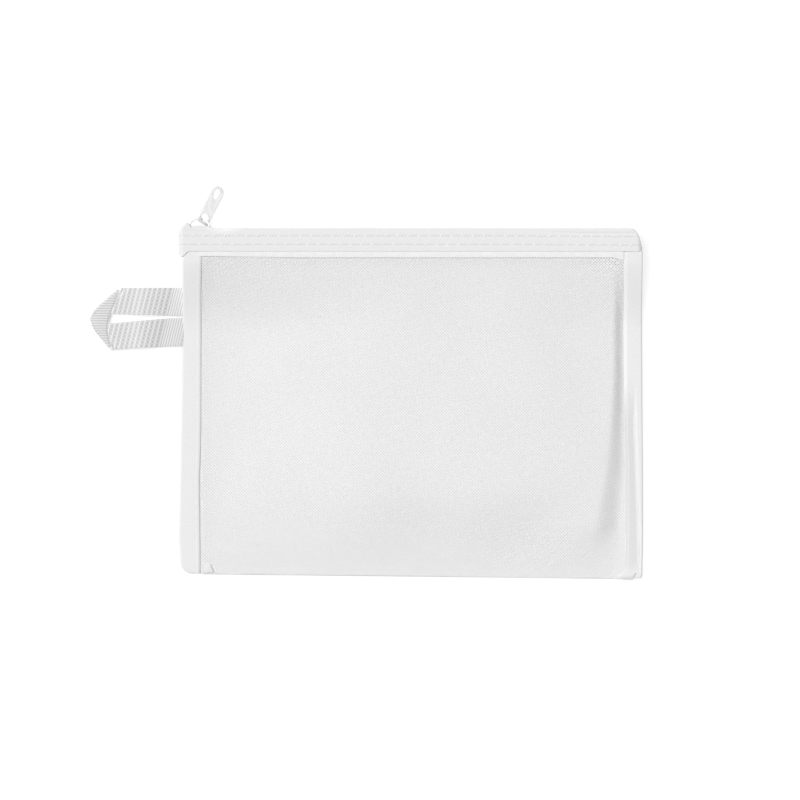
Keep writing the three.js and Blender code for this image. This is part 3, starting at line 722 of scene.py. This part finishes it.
class POUCH_OT_mesh_body(bpy.types.Operator):
    """Net body, folded along the bottom, with its turned-in hems"""

    bl_idname = "pouch.mesh_body"
    bl_label = "Net Body"

    def execute(self, context):
        s = panels()
        cells = 170
        half_cloth, seam_gap = 0.15 * MM, 0.2 * MM
        rows_y = np.concatenate((np.linspace(PANEL_END_Y, -60 * MM, 26)[:-1],
                                 np.linspace(-60 * MM, PANEL_TOP_Y, 96)))
        t = np.linspace(0, 1, cells + 1)

        def columns(y):
            inset = trims().cloth + seam_gap
            left = -(bound_half_width(-1, y, trims().left_corner) - inset)
            right = bound_half_width(1, y, trims().right_corner) - inset
            return mix(left, right, t)

        rows = []
        for y in rows_y[::-1]:
            x = columns(y)
            rows.append(np.stack((x, np.full_like(x, y), front_height(x, y) - half_cloth), -1))
        x = columns(PANEL_END_Y)
        lower, upper = back_height(x, PANEL_END_Y), front_height(x, PANEL_END_Y)
        radius = (upper - lower) / 2
        for angle in np.linspace(0, math.pi, 10)[1:-1]:
            y = PANEL_END_Y - (radius - half_cloth) * math.sin(angle)
            z = lower + radius + (radius - half_cloth) * math.cos(angle)
            rows.append(np.stack((x, y, z), -1))
        for y in rows_y[::2]:
            x = columns(y)
            rows.append(np.stack((x, np.full_like(x, y), back_height(x, y) + half_cloth), -1))
        points = np.array(rows)
        u, v = arc_lengths(points)
        u = u - u[:, cells // 2][:, None]
        uv = np.stack((u, v), -1)
        # The back layer's threads run at another angle, so that the two drawn layers don't beat.
        # The photo has soft bands that look like such a beat, and this leaves them out too
        other = math.radians(27)
        turned = np.array(((math.cos(other), math.sin(other)), (-math.sin(other), math.cos(other))))
        fold = len(rows_y) + 8
        uv[fold:] = uv[fold:] @ turned
        net = cloth_grid("mesh_net", points, uv)
        slant_bottom(net)
        bias = math.radians(45)
        material = net_material("sheer_woven_polyester_net", s.net_colour, s.net_pitch, s.net_thread, bias)
        dress(net, material, "bag", "mesh", "mesh_body")

        hems = []
        for name, z_of, sign in (("mesh_hem_front", front_height, 1), ("mesh_hem_back", back_height, -1)):
            x = np.linspace(-SEAM_INNER_X - 1 * MM, SEAM_INNER_X + 1 * MM, 150)
            edge_y = TAPE_EDGE_Y - s.hem_width
            roll = 0.2 * MM
            lift = 0.24 * MM
            angles = np.linspace(-math.pi / 2, math.pi / 2, 7)
            profile = [(TAPE_EDGE_Y + 1.2 * MM, 0.12 * MM)]
            profile += [(y, lift) for y in np.linspace(TAPE_EDGE_Y + 0.2 * MM, edge_y + roll, 7)]
            profile += [(edge_y + roll * (1 - math.cos(a)), lift - roll - roll * math.sin(a))
                        for a in angles[1:-1]]
            rows = []
            gusset = 1.4 * MM * smooth((x - SEAM_INNER_X + 5.5 * MM) / (6 * MM))
            sag = 0.6 * MM * smooth((x + SEAM_INNER_X) / (50 * MM))
            for y, out in profile:
                ys = y - (gusset + sag) * np.clip((TAPE_EDGE_Y - y) / s.hem_width, 0, 1)
                z = z_of(x, np.minimum(ys, TAPE_EDGE_Y)) + sign * out
                rows.append(np.stack((x, ys, z), -1))
            points = np.array(rows)
            u, v = arc_lengths(points)
            hem = cloth_grid(name, points, np.stack((u, v), -1))
            hems.append(hem)
        hem_net = net_material("double_polyester_net_hem", s.hem_colour, s.net_pitch, s.hem_thread, bias)
        for hem in hems:
            dress(hem, hem_net, "bag", "mesh")
        return {"FINISHED"}


# The folded ends of the bindings at the bottom corners: lower outer, lower inner, upper inner, upper outer
TAIL_LEFT = np.array(((-107.6, -90.0), (-102.0, -88.6), (-104.0, -84.3), (-108.1, -84.7))) * MM
TAIL_RIGHT = np.array(((114.4, -90.2), (105.2, -89.7), (111.0, -84.6), (116.2, -86.6))) * MM


class POUCH_OT_side_bindings(bpy.types.Operator):
    """Side bindings: twill tape folded round each side seam, with a tail at the bottom"""

    bl_idname = "pouch.side_bindings"
    bl_label = "Side Bindings"

    def execute(self, context):
        s = trims()
        material = twill_material("woven_twill_binding", s.binding_colour, s.twill_pitch, math.radians(52))
        for side, name, radius in ((-1, "binding_left", s.left_corner), (1, "binding_right", s.right_corner)):
            rows_y = np.concatenate((np.linspace(PANEL_END_Y, PANEL_END_Y + radius, 10)[:-1],
                                     np.linspace(PANEL_END_Y + radius, BINDING_TOP_Y, 110)))
            rings, lengths = [], []
            for y in rows_y:
                loop, run = self.section(side, y, radius)
                rings.append(np.stack((loop[:, 0], np.full(len(loop), y), loop[:, 1]), -1))
                lengths.append(np.stack((run, np.full(len(run), y)), -1))
            piece = cloth_grid(name + "_cloth", np.array(rings), np.array(lengths))
            close_loft(piece)
            piece = join([piece, self.tail(side, name)], name + "_cloth")
            slant_bottom(piece)
            dress(piece, material, "bag", "binding", name)
        return {"FINISHED"}

    def tail(self, side, name):
        """The cut end of a binding, folded over at the bottom corner."""
        s = trims()
        corners = TAIL_LEFT if side < 0 else TAIL_RIGHT
        a, b = np.meshgrid(np.linspace(0, 1, 15), np.linspace(0, 1, 9))
        x, y = (mix(mix(corners[0][k], corners[1][k], a), mix(corners[3][k], corners[2][k], a), b)
                for k in (0, 1))
        inner = np.minimum(np.abs(x), SEAM_INNER_X)
        net = front_height(side * inner, np.maximum(y, PANEL_END_Y))
        on_binding = 0.62 * MM * smooth((np.abs(x) - SEAM_INNER_X + 1.2 * MM) / (1.2 * MM))
        over_end = -0.9 * MM * smooth((PANEL_END_Y + 1 * MM - y) / (3 * MM))
        z = net + 0.22 * MM + on_binding + over_end + 0.25 * MM * np.sin(math.pi * b) * np.sin(math.pi * a)
        points = np.stack((x, y, z), -1)
        u, v = arc_lengths(points)
        tail = cloth_grid(name + "_tail", points, np.stack((v, u), -1))
        thicken(tail, 0.8 * s.cloth, round_width=0.12 * MM)
        return tail

    def section(self, side, y, radius):
        """Closed outline, in X and Z, of a binding at one height on the bag."""
        s = trims()
        half = s.cloth / 2
        outer = bound_half_width(side, y, radius) - half
        inner = float(inner_edge(side, y)) + half
        top = float(binding_top(side, np.array(y)))
        bottom = TRIM_BACK_Z + half
        bend = min((0.75 if side < 0 else 0.4) * MM, (top - bottom) / 2)
        across = np.linspace(inner, outer - bend, 16)
        front = top + binding_relief(side, y, across - inner)
        start = np.stack((side * across, front), -1)
        drop = front[-1]
        a = np.linspace(0, math.pi / 2, 7)[1:]
        upper = np.stack((side * (outer - bend + bend * np.sin(a)), drop - bend + bend * np.cos(a)), -1)
        lower = np.stack((side * (outer - bend + bend * np.cos(a)), bottom + bend - bend * np.sin(a)), -1)
        back = np.stack((side * across[::-1], np.full(16, bottom)), -1)[1:]
        centre = np.concatenate((start, upper, lower, back))
        run = np.arange(len(centre))
        ends = np.minimum(run, run[::-1])
        return strip_outline(centre, mix(0.3 * s.cloth, s.cloth, smooth(ends / 4)))


def binding_top(side, y):
    """Height of the middle of a binding's front leg beside its inner edge."""
    half = trims().cloth / 2
    return np.minimum(front_height(side * inner_edge(side, y), y) + half, TAPE_FRONT_Z - 3 * half)


def binding_relief(side, y, reach):
    """Relief of a binding's front leg at a distance from its inner edge."""
    lower = smooth((30 * MM - y) / (90 * MM))
    if side < 0:
        roll = mix(0.13, 0.22, lower) * MM * hump((reach - 0.6 * MM) / (0.9 * MM))
        return roll - mix(0.26, 0.16, lower) * MM * smooth(1 - reach / (0.8 * MM))
    along = smooth((14 * MM - y) / (25 * MM)) * smooth((y + 88 * MM) / (8 * MM))
    crease = mix(7.2, 5.4, smooth((y + 82 * MM) / (60 * MM))) * MM
    slope = mix(0.7, -0.9, np.clip(reach / crease, 0, 1)) * MM
    rise = 0.45 * MM * smooth((reach - crease) / (1.2 * MM))
    return along * (slope + rise) - 0.2 * MM * (1 - along) * smooth(1 - reach / (1.2 * MM))


class POUCH_OT_zip_tapes(bpy.types.Operator):
    """Zip tapes: down the panel, over a shoulder to the coil, and wrapped round both sides"""

    bl_idname = "pouch.zip_tapes"
    bl_label = "Zip Tapes"

    def execute(self, context):
        s = trims()
        rows = [(row_y, hole, s.stitch) for row_y, hole in stitch_rows()]
        material = twill_material("woven_zip_tape", s.tape_colour, s.twill_pitch, math.radians(-50), rows)
        for side, name in ((1, "zip_tape_front"), (-1, "zip_tape_back")):
            points = self.surface(side)
            u, v = arc_lengths(points)
            piece = cloth_grid(name + "_cloth", points, np.stack((u, v), -1))
            thicken(piece, s.cloth, round_width=0.12 * MM)
            select_only(piece)
            bpy.ops.object.shade_smooth_by_angle(angle=math.radians(50))
            dress(piece, material, "bag", "tape", name)
        return {"FINISHED"}

    def surface(self, side):
        """Middle surface of a tape, as rows from its lower edge to the coil."""
        s = trims()
        half = s.cloth / 2
        reach = TAPE_FRONT_Z - ZIP_CENTRE_Z - half
        gap = 0.1 * MM
        left, right = TAPE_LEFT_X + half, TAPE_RIGHT_X - half
        top = TAPE_TOP_Y - half
        shoulder = s.shoulder - half
        wrap = s.wrap - half
        slot = 2.65 * MM
        legs = [(y, 0.0) for y in np.linspace(TAPE_EDGE_Y - 0.5 * MM, top - shoulder, 30)]
        bend = [(top - shoulder + shoulder * math.sin(a), shoulder * (1 - math.cos(a)))
                for a in np.linspace(0, math.pi / 2, 6)[1:]]
        flat = [(top, d) for d in np.linspace(shoulder, reach - slot, 4)[1:]]
        rows = []
        long_cells = 400
        for y, inset in legs + bend + flat:
            radius = max(wrap - inset, 0.02 * MM)
            line_z = np.linspace(min(gap, reach - inset - radius), reach - inset - radius, 5)[:-1]
            a = np.linspace(0, math.pi / 2, 8)
            arc_x, arc_z = radius * (1 - np.cos(a)), reach - inset - radius + radius * np.sin(a)
            run_left, run_right = left + inset + radius, right - inset - radius
            middle = np.linspace(run_left, run_right, long_cells)[1:-1]
            x = np.concatenate((np.full(4, left + inset), left + inset + arc_x, middle,
                                (right - inset - arc_x)[::-1], np.full(4, right - inset)))
            face_z = np.full(long_cells - 2, reach - inset)
            z = np.concatenate((line_z, arc_z, face_z, arc_z[::-1], line_z[::-1]))
            ys = self.end_shape(x, np.full_like(x, y), inset)
            lift = self.relief(x, ys) if inset == 0 else 0.0
            face = smooth((z - reach + wrap) / wrap)
            rows.append(np.stack((x, ys, ZIP_CENTRE_Z + side * (z + lift * face)), -1))
        return np.array(rows)

    def end_shape(self, x, y, inset):
        """Height on the bag of a tape's point: the right end slants down, the left end stands up."""
        up = np.clip((y - TAPE_EDGE_Y) / (TAPE_TOP_Y - TAPE_EDGE_Y), 0, 1)
        drop, cut = 10.6 * MM, 5.6 * MM
        fall = drop * np.clip((x - (TAPE_RIGHT_X - cut)) / cut, 0, 1) ** 2.2
        corner = 2.0 * MM
        start = np.clip((TAPE_LEFT_X + corner - x) / corner, 0, 1)
        round_off = 1.6 * MM * (1 - np.sqrt(1 - start ** 2))
        slider_x, slider_end = low("slider_body").x, high("slider_body").x
        above_slider = inset < 0.35 * MM
        past = smooth((x - slider_x + (0.4 - 0.8 * above_slider) * MM) / ((0.9 + 2.0 * above_slider) * MM))
        stand = 4.4 * MM * smooth((x - TAPE_LEFT_X + 0.6 * MM) / (5.2 * MM)) * (1 - past)
        over = 1.35 * MM + 1.0 * MM * above_slider * (1 - smooth((x - slider_end) / (3 * MM)))
        stand = np.maximum(stand, over * smooth((x - TAPE_LEFT_X) / (4 * MM)))
        lip = 2.6 * MM * hump((x - TAPE_LEFT_X - 1.8 * MM) / (3.8 * MM)) * np.clip(1 - 3 * up, 0, 1) ** 2
        return y - fall * up - round_off * up + stand * smooth((up - 0.4) / 0.45) - lip

    def relief(self, x, y):
        """Grooves that the two rows of stitches pull into a tape, and the soft channel between them."""
        s = trims()
        out = 0.0
        for row_y, hole in stitch_rows():
            d = y - row_y + row_droop(x)
            dash = 0.5 + 0.5 * np.cos(2 * math.pi * (x - hole - s.stitch / 2) / s.stitch)
            out = out - (0.07 + 0.06 * dash) * MM * np.exp(-(d / (0.42 * MM)) ** 2)
        right = smooth((x - 64 * MM) / (24 * MM))
        depth, below = mix(0.1, 0.3, right) * MM, mix(0.1, 1.2, right) * MM
        return out - depth * np.exp(-((y - TAPE_TOP_Y + below) / (0.4 * MM)) ** 2)


# How far the stitch rows sink towards the right end of the zip, and where along it
ROW_DROOP = 0.35 * MM
DROOP_START_X, DROOP_END_X = 30 * MM, 120 * MM


def row_droop(x):
    """How far the stitch rows have sunk at a place along the zip."""
    return ROW_DROOP * smooth((x - DROOP_START_X) / (DROOP_END_X - DROOP_START_X))


def stitch_rows():
    """Height on the bag and the place of the first hole of each row of tape stitches."""
    upper = (low("tape_thread_front_upper").y + high("tape_thread_front_upper").y) / 2
    lower = (low("tape_thread_front_lower").y + high("tape_thread_front_lower").y) / 2
    return ((upper - 0.8 * MM, -101.2 * MM), (lower - 0.55 * MM, -103.3 * MM))


class POUCH_OT_tape_stitches(bpy.types.Operator):
    """Tape stitches: two rows of lockstitch through each zip tape"""

    bl_idname = "pouch.tape_stitches"
    bl_label = "Tape Stitches"

    def execute(self, context):
        s = trims()
        material = shared(thread_material, "spun_polyester_thread", s.thread_colour)
        for side, face in ((1, "front"), (-1, "back")):
            for (row_y, hole), row in zip(stitch_rows(), ("upper", "lower")):
                node = f"tape_thread_{face}_{row}"
                start, end = low(node).x, high(node).x
                x = np.arange(start, end, 0.3 * MM)
                turn = ((x - hole) / s.stitch + 0.5) % 1 - 0.5
                knot = hump(turn / 0.15)
                # The thread steps aside within this share of a stitch of its hole, and slants back beyond it
                near = 0.13
                back = np.sign(turn) * (1 - (np.abs(turn) - near) / (0.5 - near))
                slide = np.where(np.abs(turn) < near, turn / near, back)
                y = row_y + 0.5 * MM * slide
                z = TAPE_FRONT_Z - ZIP_CENTRE_Z + mix(-0.48 * MM, 0.16 * MM, knot)
                path = np.stack((x, y - row_droop(x), ZIP_CENTRE_Z + side * z), -1)
                piece = tube(node + "_cord", path, s.thread / 2)
                dress(piece, material, "bag", "thread", node)
        return {"FINISHED"}


class POUCH_OT_binding_stitches(bpy.types.Operator):
    """Binding stitches: one row of small stitches through each leg of a binding"""

    bl_idname = "pouch.binding_stitches"
    bl_label = "Binding Stitches"

    def execute(self, context):
        s = trims()
        material = shared(thread_material, "spun_polyester_thread", s.thread_colour)
        pitch = 2.6 * MM
        for side, name in ((-1, "left"), (1, "right")):
            for face in ("front", "back"):
                node = f"binding_thread_{name}_{face}"
                x0 = (low(node).x + high(node).x) / 2
                y = np.arange(low(node).y + 0.6 * MM, high(node).y - 0.4 * MM, 0.26 * MM)
                wave = np.cos(2 * math.pi * y / pitch)
                x = np.full_like(y, x0)
                if face == "front":
                    reach = abs(x0) - SEAM_INNER_X
                    x = side * (inner_edge(side, y) + reach)
                    top = binding_top(side, y) + binding_relief(side, y, reach) + s.cloth / 2
                    z = top + mix(-0.15 * MM, 0.03 * MM, smooth(wave * 0.5 + 0.5))
                else:
                    z = TRIM_BACK_Z + mix(0.12 * MM, -0.02 * MM, smooth(wave * 0.5 + 0.5))
                path = np.stack((x, y, z), -1)
                piece = tube(node + "_cord", path, 0.15 * MM, sides=6)
                slant_bottom(piece)
                dress(piece, material, "bag", "thread", node)
        return {"FINISHED"}


class POUCH_OT_zip_coils(bpy.types.Operator):
    """Zip coils: two nylon filaments wound flat, whose turns hook into each other"""

    bl_idname = "pouch.zip_coils"
    bl_label = "Zip Coils"

    def execute(self, context):
        s = trims()
        material = nylon_material("heat_set_nylon_filament", s.coil_colour)
        for side, name in ((1, "zip_coil_front"), (-1, "zip_coil_back")):
            start, end = low(name).x, high(name).x
            radius = 0.38 * MM
            bottom, top = TAPE_TOP_Y + 0.02 * MM + radius, COIL_TOP_Y - radius
            spine = 2.4 * MM - radius
            tip = -0.45 * MM + radius
            turns = int((end - start - s.coil_pitch) / s.coil_pitch)
            steps = 14
            angle = np.linspace(0, 2 * math.pi * turns, turns * steps + 1)
            shift = 0 if side > 0 else s.coil_pitch / 2
            x = start + radius + shift * 0.9 + angle / (2 * math.pi) * s.coil_pitch
            x = np.minimum(x, end - radius)
            squash = np.sign(np.cos(angle)) * np.abs(np.cos(angle)) ** 0.7
            z = (spine + tip) / 2 + (spine - tip) / 2 * squash
            y = (bottom + top) / 2 + (top - bottom) / 2 * np.sin(angle)
            path = np.stack((x, y, ZIP_CENTRE_Z + side * z), -1)
            piece = tube(name + "_filament", path, radius, sides=6)
            dress(piece, material, "bag", "coil", name)
        return {"FINISHED"}


class POUCH_OT_slider(bpy.types.Operator):
    """Slider: two plates on a wedge post, side flanges and a bridge for the pull tab"""

    bl_idname = "pouch.slider"
    bl_label = "Slider"

    def execute(self, context):
        s = hardware()
        material = shared(enamel_material, "enamelled_zinc_casting", s.paint)
        piece = rounded_copy(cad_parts["slider_body"], "slider_casting", s.rounding)
        dress(piece, material, "slider", "paint", "slider_body")
        return {"FINISHED"}


class POUCH_OT_pull_tab(bpy.types.Operator):
    """Pull tab: a flat tongue with a round tip, a tip hole and an eye for the bridge"""

    bl_idname = "pouch.pull_tab"
    bl_label = "Pull Tab"

    def execute(self, context):
        s = hardware()
        material = shared(enamel_material, "enamelled_zinc_casting", s.paint)
        piece = rounded_copy(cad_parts["pull_tab"], "pull_tab_casting", s.rounding)
        dress(piece, material, "pull", "paint", "pull_tab")
        return {"FINISHED"}


def rounded_copy(node, name, width):
    """A merged copy of a rigid node with its sharp edges rounded."""
    obj = bpy.data.objects.new(name, node.data.copy())
    obj.data.name = name
    bpy.context.scene.collection.objects.link(obj)
    bm = bmesh.new()
    bm.from_mesh(obj.data)
    bmesh.ops.remove_doubles(bm, verts=bm.verts, dist=1e-6)
    bmesh.ops.dissolve_limit(bm, angle_limit=math.radians(1), verts=bm.verts, edges=bm.edges)
    bm.to_mesh(obj.data)
    bm.free()
    edge = obj.modifiers.new("Edge", "BEVEL")
    edge.width = width
    edge.segments = 3
    edge.limit_method = "ANGLE"
    edge.angle_limit = math.radians(38)
    apply_modifiers(obj)
    bpy.ops.object.shade_smooth_by_angle(angle=math.radians(40))
    return obj


# The webbing: its top edge at the seam, how deep its ends lie in the seam, and the slant of its ribs
LOOP_TOP_Y, ROOT_DEPTH, RIB_SLANT = 59.5 * MM, 2.2 * MM, 0.25
# Points along one leg, round one fold, and across the tip
LEG_POINTS, TURN_POINTS, TIP_POINTS = 51, 9, 24


class POUCH_OT_hanging_loop(bpy.types.Operator):
    """Hanging loop: one strip of webbing folded twice on the slant"""

    bl_idname = "pouch.hanging_loop"
    bl_label = "Hanging Loop"

    def execute(self, context):
        s = context.scene.pouch_loop
        points = self.surface(s)
        x, y = points[..., 0], points[..., 1]
        column = np.arange(points.shape[1])
        # The ribs lie as steep as the crease in both legs, and level across the tip
        legs = -HALF_WIDTH + ROOT_DEPTH - x - RIB_SLANT * (LOOP_TOP_Y - y)
        # The tip and the lower leg have stretches of the pattern to themselves, well apart
        tip_at, back_at = 0.1, 0.2
        tip_start = LEG_POINTS + TURN_POINTS // 2
        tip_end = tip_start + TURN_POINTS + TIP_POINTS + 1
        on_tip = tip_at + 62 * MM - y
        u = np.where(column < tip_start, legs, np.where(column < tip_end, on_tip, back_at + legs))
        v = np.broadcast_to(np.linspace(0, s.width, len(points))[:, None], u.shape)
        crease = 6.25 * MM
        tip = (tip_at - 5 * MM, tip_at + 45 * MM)
        material = webbing_material("ribbed_polyester_webbing", s.colour, s.rib, 2.0 * MM,
                                    ((-5 * MM, crease), tip, (back_at - 5 * MM, back_at + crease)), tip)
        piece = cloth_grid("hanging_loop_webbing", points, np.stack((u, v), -1))
        thicken(piece, s.thickness, round_width=0.3 * MM)
        select_only(piece)
        bpy.ops.object.shade_smooth_by_angle(angle=math.radians(50))
        dress(piece, material, None, "webbing", "hanging_loop")
        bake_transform(piece)
        return {"FINISHED"}

    def surface(self, s):
        """Middle surface: out along the upper leg, down across the tip, back along the lower leg."""
        w = np.linspace(0, 1, 15)[:, None]
        root_x, tip_x = -HALF_WIDTH + ROOT_DEPTH, low("hanging_loop").x
        upper_root = mix(LOOP_TOP_Y, 44.9 * MM, w)
        lower_root = mix(29.15 * MM, 43.85 * MM, w)
        ply = s.thickness * 0.51
        upper_fold = self.fold_line(w, (-150.0 * MM, 60.0 * MM), (tip_x + 0.8 * MM, 47.0 * MM), 1.6 * ply)
        lower_fold = self.fold_line(w, (-154.8 * MM, 26.8 * MM), (tip_x + 0.4 * MM, 39.6 * MM), 1.6 * ply, -1)
        out = self.leg(upper_root, upper_fold[0], root_x)
        back = self.leg(lower_root, lower_fold[0], root_x)[:, ::-1]
        first = self.turn(w, *upper_fold, 0.8 * MM, ply)
        last = self.turn(w, *lower_fold, 0.8 * MM, ply)[:, ::-1]
        t = np.linspace(0, 1, TIP_POINTS + 2)[None, 1:-1, None]
        tip = mix(first[:, -1:], last[:, :1], t)
        tip[..., 0] -= 4.2 * MM * np.sin(math.pi * t[..., 0] ** 1.3) * (1 - w) ** 1.5
        tip[..., 0] -= 1.3 * MM * np.sin(math.pi * t[..., 0]) * w ** 4
        tip[..., 2] -= 0.35 * MM * smooth(1 - w / 0.15) * smooth(np.sin(math.pi * t[..., 0]) * 3)
        tip[..., 2] -= 0.5 * MM * smooth((w - 0.7) / 0.3) * np.sin(math.pi * t[..., 0])
        return np.concatenate((out, first, tip, last, back), 1)

    def fold_line(self, w, start, end, inset, turn=1):
        """Points of a fold line moved in by its own bulge, and the direction that points out of the fold."""
        start, end = np.array(start), np.array(end)
        along = (end - start) / np.linalg.norm(end - start)
        out = np.array((along[1], -along[0])) * -turn
        out = -out if out[0] > 0 else out
        line = mix(start, end, w)
        line = line - out * inset
        line[:, 0] = np.maximum(line[:, 0], end[0] + 0.4 * MM)
        return line, out

    def leg(self, root_y, fold, root_x):
        """One leg, from the root to its fold, with the crease beside the seam and the swell beyond it."""
        t = np.linspace(0, 1, LEG_POINTS + 1)[None, :-1]
        x = mix(root_x, fold[:, :1], t)
        level_x = root_x - 7 * MM
        straight = smooth((root_x - 5 * MM - x) / (4 * MM)) * (level_x - x) / (level_x - fold[:, :1])
        y = mix(root_y, fold[:, 1:], np.clip(straight, 0, 1))
        crease = -122.8 * MM - RIB_SLANT * (LOOP_TOP_Y - y)
        past = crease - x
        swell = np.clip(past / (13 * MM), 0, 1)
        swell = (1 - (1 - swell) ** 2) * (1 - smooth((past - 13 * MM) / (14 * MM)))
        z = 0.62 * MM + 1.9 * MM * swell + 1.0 * MM * smooth((x - crease) / (root_x - crease))
        z = mix(z, 1.45 * MM, smooth((root_x - 22 * MM - x) / (8 * MM)))
        z = mix(z, 0.8 * MM, smooth((x - fold[:, :1] - 5 * MM) / (-4 * MM)))
        return np.stack((x, y, z), -1)

    def turn(self, w, line, out, z, ply):
        """The webbing round a fold, from the lower ply to the upper one."""
        a = np.linspace(0, math.pi, TURN_POINTS)[None, :]
        reach = ply * np.sin(a) * (1 - 0.9 * smooth((w - 0.75) / 0.25) - 0.7 * smooth(1 - w / 0.15))
        x = line[:, :1] + out[0] * reach
        y = line[:, 1:] + out[1] * reach
        rise = ply * (1 - 0.45 * smooth(1 - w / 0.18))
        return np.stack((x, y, z + rise * (1 - np.cos(a))), -1)


class POUCH_OT_stage(bpy.types.Operator):
    """Stage: a white table, an even sky, a soft key light, a small spot for the pull tab, and the camera"""

    bl_idname = "pouch.stage"
    bl_label = "Stage"

    def execute(self, context):
        s = context.scene.pouch_stage
        bpy.ops.object.select_all(action="DESELECT")
        bpy.ops.mesh.primitive_plane_add(size=6.0, location=(0, 0, 0))
        floor = context.active_object
        floor.name = "table"
        floor.data.materials.append(self.table_material())
        self.sky(context, s.sky)

        key_share = 1.0 - s.sky
        strength = key_share * math.pi / math.sin(s.key_height)
        away = Vector((math.cos(s.key_side) * math.cos(s.key_height),
                       math.sin(s.key_side) * math.cos(s.key_height), math.sin(s.key_height)))
        bpy.ops.object.light_add(type="SUN", location=away)
        key = context.active_object
        key.name = "key_light"
        key.data.energy = strength
        key.data.angle = s.key_softness
        key.rotation_mode = "QUATERNION"
        key.rotation_quaternion = (-away).to_track_quat("-Z", "Y")

        tab_middle = (low("pull_tab") + high("pull_tab")) / 2
        bpy.ops.object.light_add(type="SPOT", location=tab_middle + Vector(s.fill_offset))
        fill = context.active_object
        fill.name = "fill_light"
        fill.data.spot_size = s.fill_cone
        fill.data.spot_blend = 0.35
        fill.data.shadow_soft_size = s.fill_radius
        fill.data.energy = s.fill
        fill.rotation_mode = "QUATERNION"
        aim = Vector(s.fill_aim) - Vector(s.fill_offset)
        fill.rotation_quaternion = aim.to_track_quat("-Z", "Y")

        camera_data = bpy.data.cameras.new("camera")
        camera_data.sensor_width = 36.0
        camera_data.lens = s.lens
        camera = bpy.data.objects.new("camera", camera_data)
        context.scene.collection.objects.link(camera)
        distance = s.frame_width * s.lens / camera_data.sensor_width
        camera.location = Vector(s.middle) + Vector((0, 0, distance))
        camera_data.clip_start = 0.01
        camera_data.clip_end = 20.0
        context.scene.camera = camera
        context.scene.view_settings.view_transform = "Standard"
        return {"FINISHED"}

    def table_material(self):
        """White laminate table: plain white to the eye and in mirrors, a little darker as a light source."""
        material = bpy.data.materials.new("white_laminate_table")
        material.use_nodes = True
        tree = material.node_tree
        tree.nodes.clear()
        seen = self.seen_directly(tree)
        lit = add(tree, "BsdfDiffuse", {"Color": (0.22, 0.22, 0.22, 1.0)})
        glow = add(tree, "Emission", {"Color": (1.0, 1.0, 1.0, 1.0), "Strength": 0.82})
        both = add(tree, "AddShader", (lit, glow))
        plain = add(tree, "BsdfDiffuse", {"Color": (0.75, 0.75, 0.75, 1.0)})
        choice = add(tree, "MixShader", (seen, plain, both))
        add(tree, "OutputMaterial", {"Surface": choice})
        return material

    def seen_directly(self, tree):
        """1 for what the camera, glossy and transmitted rays see, 0 for the light that the surface gives."""
        path = add(tree, "LightPath")
        camera, glossy = path.outputs["Is Camera Ray"], path.outputs["Is Glossy Ray"]
        seen = add(tree, "Math", (camera, glossy), operation="MAXIMUM")
        return add(tree, "Math", (seen, path.outputs["Is Transmission Ray"]), operation="MAXIMUM")

    def sky(self, context, strength):
        world = bpy.data.worlds.new("even_sky")
        context.scene.world = world
        world.use_nodes = True
        tree = world.node_tree
        tree.nodes.clear()
        seen = self.seen_directly(tree)
        light = add(tree, "Background", {"Color": (1.0, 1.0, 1.0, 1.0), "Strength": strength})
        white = add(tree, "Background", {"Color": (1.0, 1.0, 1.0, 1.0), "Strength": 1.0})
        choice = add(tree, "MixShader", (seen, light, white))
        add(tree, "OutputWorld", {"Surface": choice})


class VIEW3D_PT_pouch(bpy.types.Panel):
    """Sizes and colours of the pouch, and a button for each piece"""

    bl_label = "Mesh Zip Pouch"
    bl_idname = "VIEW3D_PT_pouch"
    bl_space_type = "VIEW_3D"
    bl_region_type = "UI"
    bl_category = "Pouch"

    def draw(self, context):
        scene = context.scene
        for group in GROUPS:
            box = self.layout.box()
            box.label(text=group.__doc__)
            settings = getattr(scene, GROUPS[group])
            for key in group.__annotations__:
                box.prop(settings, key)
        for operator in OPERATORS:
            self.layout.operator(operator.bl_idname)


GROUPS = {
    PouchPanels: "pouch_panels",
    PouchTrims: "pouch_trims",
    PouchHardware: "pouch_hardware",
    PouchLoop: "pouch_loop",
    PouchStage: "pouch_stage",
}
OPERATORS = (
    POUCH_OT_stage,
    POUCH_OT_mesh_body,
    POUCH_OT_side_bindings,
    POUCH_OT_zip_tapes,
    POUCH_OT_tape_stitches,
    POUCH_OT_binding_stitches,
    POUCH_OT_zip_coils,
    POUCH_OT_slider,
    POUCH_OT_pull_tab,
    POUCH_OT_hanging_loop,
)


def register():
    for group, name in GROUPS.items():
        bpy.utils.register_class(group)
        setattr(bpy.types.Scene, name, bpy.props.PointerProperty(type=group))
    for cls in (*OPERATORS, VIEW3D_PT_pouch):
        bpy.utils.register_class(cls)


def unregister():
    for cls in (VIEW3D_PT_pouch, *reversed(OPERATORS)):
        bpy.utils.unregister_class(cls)
    for group, name in reversed(GROUPS.items()):
        delattr(bpy.types.Scene, name)
        bpy.utils.unregister_class(group)


def main():
    register()
    for operator in OPERATORS:
        family, name = operator.bl_idname.split(".")
        getattr(getattr(bpy.ops, family), name)()


if __name__ == "__main__":
    main()
